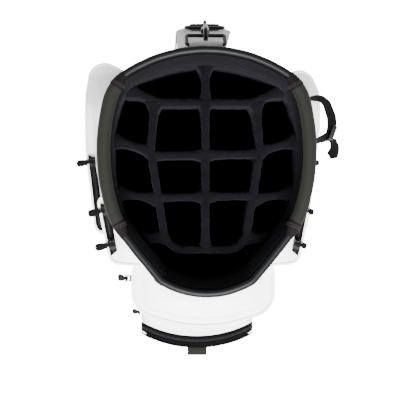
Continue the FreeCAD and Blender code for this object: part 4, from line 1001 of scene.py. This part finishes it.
over_roof = (ring[:, 1] > low.z + 0.006) & (np.arange(300) > 3)
tape_path = (mouth + np.column_stack([way[:, 0] * 0.0009, np.full(300, 0.0052), way[:, 1] * 0.0009]))[over_roof]
tape_up = np.column_stack([way[:, 0], np.zeros(300), way[:, 1]])[over_roof]
tape = make("ball_pocket_zip_cloth", [band(tape_path, (0, 1, 0), tape_up, 0.0134, 0.0012)], zip_cloth)
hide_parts("ball_pocket_zip")
make("ball_pocket_zip_coil", [teeth(tape_path + tape_up * 0.0003, tape_up)], zip_coil)

# ------------------------------------------------------------------ ball pocket door
# The door is a foam-backed panel edged with black webbing; it swells most in its middle. A short folded
# webbing tab at the top
# gives the fingers something to pull.
black_webbing = finish("black_webbing", (0.0018, 0.0018, 0.0020), 0.78, weave, {"Threads": 1200.0}, tone=0.35,
    bump=0.6, depth=0.0004,
                       Specular_IOR_Level=0.05)
u = np.linspace(-1, 1, 61)
w = np.linspace(0, 1, 81)
X, W = np.meshgrid(u * (BALL_HALF - 0.0004), w, indexing="ij")
Z = door_low.z + 0.0004 + (door_high.z - door_low.z - 0.0008) * W
cushion = (1 - np.abs(u[:, None]) ** 6) * (1 - np.abs(2 * w[None] - 1) ** 6)
outer = FRONT_RADIUS - 0.0018 + 0.0048 * cushion + 0.0006 * ripple(X, Z, 0.10, 81) * cushion
front_y = FRONT_AXIS_Y - np.sqrt(outer ** 2 - X ** 2)
rear_y = FRONT_AXIS_Y - np.sqrt((FRONT_RADIUS - 0.0048) ** 2 - X ** 2)
panel = np.concatenate([np.stack([X, front_y, Z], -1), np.stack([X, rear_y, Z], -1)[:, ::-1]], 1)
door = make("ball_pocket_door_cloth", [grid(panel, close_v=True, cap=True)], white_coat,
    "ball_door")
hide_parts("ball_pocket_door")
ring, way = box_ring(300, -0.0012)
rim_y = FRONT_AXIS_Y - np.sqrt((FRONT_RADIUS - 0.0022) ** 2 - ring[:, 0] ** 2)
make("ball_door_piping", [tube(np.column_stack([ring[:, 0], rim_y, ring[:, 1]]), 0.0026, 8, close=True,
    up=(0, 1, 0))], black_webbing, "ball_door")
ring, way = box_ring(300, -0.0100)
row_y = FRONT_AXIS_Y - np.sqrt((FRONT_RADIUS + 0.0018) ** 2 - ring[:, 0] ** 2)
facing = np.column_stack([ring[:, 0] / FRONT_RADIUS, -np.ones(300), np.zeros(300)])
make("ball_door_stitches", [stitch_row(np.column_stack([ring[:, 0], row_y, ring[:, 1]]), facing)], thread_grey_as_painted_seam_shade,
    "ball_door")

olive_webbing = finish("olive_webbing", (0.011, 0.011, 0.0088), 0.8, weave, {"Threads": 1500.0}, tone=0.3,
    bump=0.6, depth=0.0003,
                       Specular_IOR_Level=0.12)
TAB_PROUD = 0.003
low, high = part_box("ball_door_tab")
low.y -= TAB_PROUD


def rise_of(path):
    """Direction of a folded web's thickness: across both its path and the x axis, which its width follows."""
    rise = np.cross(np.tile([1.0, 0, 0], (len(path), 1)), np.gradient(path, axis=0))
    return rise / np.linalg.norm(rise, axis=1, keepdims=True)


tab_z = (low.z + high.z) / 2
turn = np.linspace(-math.pi / 2, math.pi / 2, 15)
fold = np.column_stack([np.zeros(15), low.y + 0.0016 - 0.0010 * np.cos(turn), tab_z + 0.0010 * np.sin(turn)])
top_run = np.column_stack([np.zeros(12), np.linspace(low.y + 0.0018, high.y, 12), np.full(12, tab_z + 0.0010)])
path = np.vstack([top_run[::-1] * (1, 1, 1) - (0, 0, 0.0020), fold, top_run])
tab = make("ball_door_tab_webbing", [band(path, (1, 0, 0), rise_of(path), high.x - low.x, 0.0011)], olive_webbing,
    "ball_door")
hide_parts("ball_door_tab")

# ------------------------------------------------------------------ zip sliders and pulls
# Die-cast sliders with a black coating. Each pull is moulded soft rubber on a wire-like link: an oval paddle
# with a raised rim,
# three grip ribs and a waist where it is moulded round the link.
black_zinc = finish("black_coated_zinc", (0.0022, 0.0022, 0.0025), 0.36, moulding, {"Spark": 1200.0}, tone=0.25,
    polish=0.1, bump=0.15, depth=0.0002,
                    Specular_IOR_Level=0.28)
pull_rubber = finish("pull_rubber", (0.0018, 0.0018, 0.0018), 0.62, moulding, {"Spark": 3000.0}, tone=0.3,
    polish=0.1, bump=0.35, depth=0.0003,
                     Specular_IOR_Level=0.08)
sliders = [name for name in frame["nodes"] if name.endswith("_slider")]
dress(black_zinc, *sliders)
hinges = {joint["name"]: joint for joint in frame["joints"]}
PULL_END, EYE_MIDDLE = 0.0260, 0.00225
for name in [slider.removesuffix("_slider") for slider in sliders]:
    hinge = hinges[name + "_swing"]
    bail, axis = np.array(hinge["pos_m"]), np.array(hinge["axis"]) / np.linalg.norm(hinge["axis"])
    low, high = (np.array(corner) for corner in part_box(name + "_pull"))
    ahead = (low + high) / 2 - bail
    ahead -= ahead @ axis * axis
    ahead /= np.linalg.norm(ahead)
    face = np.cross(ahead, axis)
    tip = min(np.abs((np.array([low, high]) - bail) @ ahead).max(), PULL_END)
    s = np.linspace(0.0085, tip, 44)
    end = np.clip(np.minimum(s - 0.0085, tip - s), 0, None)
    half = 0.0045 * np.sqrt(1 - (1 - np.clip(end / 0.0034 + 0.02, 0,
        1)) ** 2) * (1 - 0.16 * np.exp(-((s - 0.0125) / 0.0024) ** 2))
    ribs = (np.abs(((s - 0.0150) / 0.003) % 1.0 - 0.5) < 0.2) * (s > 0.0150) * (s < 0.0240)
    thick = 0.0017 - 0.0006 * np.exp(-((s - 0.0195) / 0.0055) ** 4) + 0.0004 * ribs
    thick = np.minimum(thick, half * 0.6)
    turn = np.arange(20) * math.pi / 10
    wide = softened(np.cos(turn), 0.7)
    high_way = softened(np.sin(turn), 0.5)
    paddle = bail + s[:, None, None] * ahead + (half[:, None] * wide)[...,
        None] * axis + (thick[:, None] * high_way)[..., None] * face
    link = np.array([bail + d * ahead for d in np.linspace(0.0024, 0.0110, 12)])
    spin = np.append(np.linspace(0, 2 * math.pi, 25)[:-1], 0.0)[:, None]
    eye = bail + EYE_MIDDLE * (np.cos(spin) * ahead + np.sin(spin) * face)
    eye_ring = band(eye, axis, (eye - bail) / EYE_MIDDLE, 0.0043, 0.0013)
    pieces = [grid(paddle, close_v=True, cap=True), band(link, axis, face, 0.0042, 0.0020), eye_ring]
    pull = make(name + "_pull_rubber", pieces, pull_rubber, name + "_pull")
    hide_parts(name + "_pull")

# ------------------------------------------------------------------ shoulder strap
# Two light grey webbing tabs are box-stitched to the spine. Each holds a wire D-ring, in which a swivel snap
# hook hangs; its eye
# carries a loop ring, black webbing runs from that into the ends of a long padded sleeve in pale cloth.
dress(black_zinc, "upper_d_ring", "lower_d_ring", "upper_snap_hook", "lower_snap_hook", "upper_hook_gate",
    "lower_hook_gate",
      "swivel_eyes", "strap_loops")
grey_webbing = finish("grey_webbing", (0.56, 0.56, 0.55), 0.8, weave, {"Threads": 1300.0}, tone=0.2, bump=0.6,
    depth=0.0004, Sheen_Weight=0.1)
tab_low, tab_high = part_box("strap_tabs")
tabs, rows = [], []
for label, up, wall_out in (("upper", 1, 0.0), ("lower", -1, SKIN_OUT)):
    bar = np.array(hinges[label + "_ring_swing"]["pos_m"])
    wall_y = BACK_Y + wall_out
    turn = np.radians(np.linspace(-75, 210, 30)) * up
    loop = np.column_stack([np.zeros(30), bar[1] + 0.0038 * np.cos(turn), bar[2] + 0.0038 * np.sin(turn)])
    lower_run = np.column_stack([np.zeros(14), np.full(14, wall_y + 0.0012),
        np.linspace(bar[2] - up * 0.034, bar[2] - up * 0.0065, 14)])
    outer_run = lower_run + (0, 0.0016, 0)
    path = respaced(np.vstack([outer_run, loop, lower_run[::-1]]), 120)
    tabs.append(band(path, (1, 0, 0), rise_of(path), tab_high.x - tab_low.x, 0.0015))
    zs = bar[2] - up * np.array([0.031, 0.012])
    square = np.array([(-0.016, zs[0]), (0.016, zs[0]), (0.016, zs[1]), (-0.016, zs[1]), (-0.016, zs[0]),
        (0.016, zs[1])])
    square = respaced(square, 160)
    rows.append(stitch_row(np.column_stack([square[:, 0], np.full(160, wall_y + 0.0038), square[:, 1]]),
        np.tile([0, 1.0, 0], (160, 1)), 0.0034, 0.0026))
tab = make("strap_tab_webbing", tabs, grey_webbing)
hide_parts("strap_tabs")
make("strap_tab_stitches", rows, thread_grey_as_painted_seam_shade)

pad_low, pad_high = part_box("shoulder_pad")
web_low, web_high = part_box("strap_webbing")
PAD_TOP_Y, PAD_FOOT_Y = 0.1806, 0.1761
UPPER_LOOP_Y, LOWER_LOOP_Y = 0.17906, 0.17548
straps = []
for bar_y, up, pad_y, pad_z in ((UPPER_LOOP_Y, 1, PAD_TOP_Y, pad_high.z),
        (LOWER_LOOP_Y, -1, PAD_FOOT_Y, pad_low.z)):
    centre_z = web_high.z - 0.0048 if up > 0 else web_low.z + 0.0048
    turn = np.radians(np.linspace(-62, 242, 34)) * up
    loop = np.column_stack([np.zeros(34), bar_y + 0.0036 * np.cos(turn), centre_z + 0.0036 * np.sin(turn)])
    inside = np.column_stack([np.zeros(10), np.linspace(bar_y + 0.0008, pad_y + 0.0008, 10),
        np.linspace(centre_z - up * 0.0060, pad_z - up * 0.004, 10)])
    short = inside[:5] - (0, 0.0018, 0)
    path = respaced(np.vstack([inside[::-1], loop, short]), 110)
    straps.append(band(path, (1, 0, 0), rise_of(path), 0.0360, 0.0016))
strap = make("strap_webbing_cloth", straps, black_webbing)
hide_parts("strap_webbing")

# the pad is sewn as a flat tube and filled with foam: its cloth is blown up against its own seams, by no more
# than MOST_PUFF
MOST_PUFF = 0.0022
pale_cloth = finish("pale_pad_cloth", (0.62, 0.62, 0.61), 0.78, weave, {"Threads": 1100.0}, tone=0.12, bump=0.4,
    depth=0.0003, Sheen_Weight=0.15)
z = np.linspace(pad_low.z + 0.001, pad_high.z - 0.001, 120)
w = (z - z[0]) / (z[-1] - z[0])
middle_y = PAD_FOOT_Y * (1 - w) + PAD_TOP_Y * w - 0.0052 * np.sin(math.pi * w) ** 1.2
blunt = np.clip(np.minimum(w, 1 - w) / 0.05, 0, 1)
half_w = 0.0335 * (0.72 + 0.28 * np.sin(blunt * math.pi / 2))
half_t = 0.0054 * (0.45 + 0.55 * np.sin(blunt * math.pi / 2))
turn = np.arange(64) * math.pi / 32
wide = softened(np.cos(turn), 0.6)
thick = softened(np.sin(turn), 0.7)
pad = np.stack([half_w[:, None] * wide[None], middle_y[:, None] + half_t[:, None] * thick[None],
    np.broadcast_to(z[:, None], (120, 64))], -1)
pad = make("shoulder_pad_cloth", [grid(pad, close_v=True, cap=True)], pale_cloth)
rest = np.empty(len(pad.data.vertices) * 3, np.float32)
pad.data.vertices.foreach_get("co", rest)
blow = pad.modifiers.new("blow", "CLOTH")
blow.settings.quality = 5
blow.settings.mass = 0.3
blow.settings.tension_stiffness = 18
blow.settings.compression_stiffness = 6
blow.settings.bending_stiffness = 0.6
blow.settings.use_pressure = True
blow.settings.uniform_pressure_force = 2.5
blow.settings.effector_weights.gravity = 0
scene = bpy.context.scene
for step in range(1, 13):
    scene.frame_set(step)
shaped = pad.evaluated_get(bpy.context.evaluated_depsgraph_get())
puffed = np.empty_like(rest)
shaped.data.vertices.foreach_get("co", puffed)
pad.modifiers.remove(blow)
scene.frame_set(1)
move = (puffed - rest).reshape(-1, 3)
far = np.linalg.norm(move, axis=1, keepdims=True)
move *= np.minimum(1.0, MOST_PUFF / np.maximum(far, 1e-9))
pad.data.vertices.foreach_set("co", (rest.reshape(-1, 3) + move).reshape(-1))
pad.data.update()
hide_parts("shoulder_pad")
edge_rows, piping = [], []
for side in (1, -1):
    line = np.column_stack([half_w * side, middle_y, z])
    piping.append(tube(line[3:-3], 0.0013, 8, up=(0, 1, 0)))
    row = np.column_stack([half_w * side * 0.80, middle_y + half_t * 0.99 + 0.0008, z])
    edge_rows.append(stitch_row(row[6:-6], np.tile([0, 1.0, 0], (108, 1)), 0.0044, 0.0032, 0.0009))
make("shoulder_pad_piping", piping, pale_cloth)
make("shoulder_pad_stitches", edge_rows, thread_grey_as_painted_seam_shade)

# ------------------------------------------------------------------ umbrella strap
# A loop of black webbing on the right side holds an umbrella's shaft; a moulded ladder buckle takes up its
# free tail, whose end
# is cut to a point.
dress(boot_plastic, "umbrella_buckle")
LOOP_PLAN = [(117.5, 88.0, 0), (142.0, 90.0, 14), (153.0, 60.0, 30), (147.0, 44.0, 6), (126.4, 36.0, 0)]
TAIL_PLAN = [(151.6, 40.6, 0), (155.0, 30.0, 12), (150.0, 17.0, 0)]
low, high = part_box("umbrella_strap")
strips = []
for plan, first in ((LOOP_PLAN, True), (TAIL_PLAN, False)):
    line = bent([(x / 1000, y / 1000, r / 1000) for x, y, r in plan], 90)
    if first:
        line = respaced(line[beyond(line, 0.0) > 0.0002], 90)
    w = np.linspace(0, 1, 90)
    level = (low.z + high.z) / 2 + (0.0010 * np.sin(3 * math.pi * w) if first else -0.0040 * w)
    lean = np.radians(42 * np.sin(math.pi * w) ** 0.6 if first else 30 + 25 * w)
    ahead = np.gradient(line, axis=0)
    ahead = unit(ahead)
    side_way = np.column_stack([ahead[:, 1], -ahead[:, 0], np.zeros(90)])
    across = np.column_stack([side_way[:, 0] * np.sin(lean), side_way[:, 1] * np.sin(lean), np.cos(lean)])
    rise = np.cross(np.column_stack([ahead, np.zeros(90)]), across)
    width = np.full(90, 0.0194)
    if not first:
        width = width * np.clip((1 - w) / 0.18, 0.12, 1)
    path = np.column_stack([line, level])
    turn = np.arange(28) * 2 * math.pi / 28
    wide = softened(np.cos(turn), 0.5) / 2
    flat = softened(np.sin(turn), 0.8) * 0.0008
    section = path[:, None] + (width[:, None] * wide)[..., None] * across[:, None] + flat[None, :, None] * rise[:,
        None]
    strips.append(grid(section, close_v=True, cap=True))
strap = make("umbrella_strap_webbing", strips, black_webbing)
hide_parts("umbrella_strap")

# ------------------------------------------------------------------ hood snaps
# Four coated press studs round the collar's skirt hold the rain hood.
dress(black_zinc, "hood_snaps")
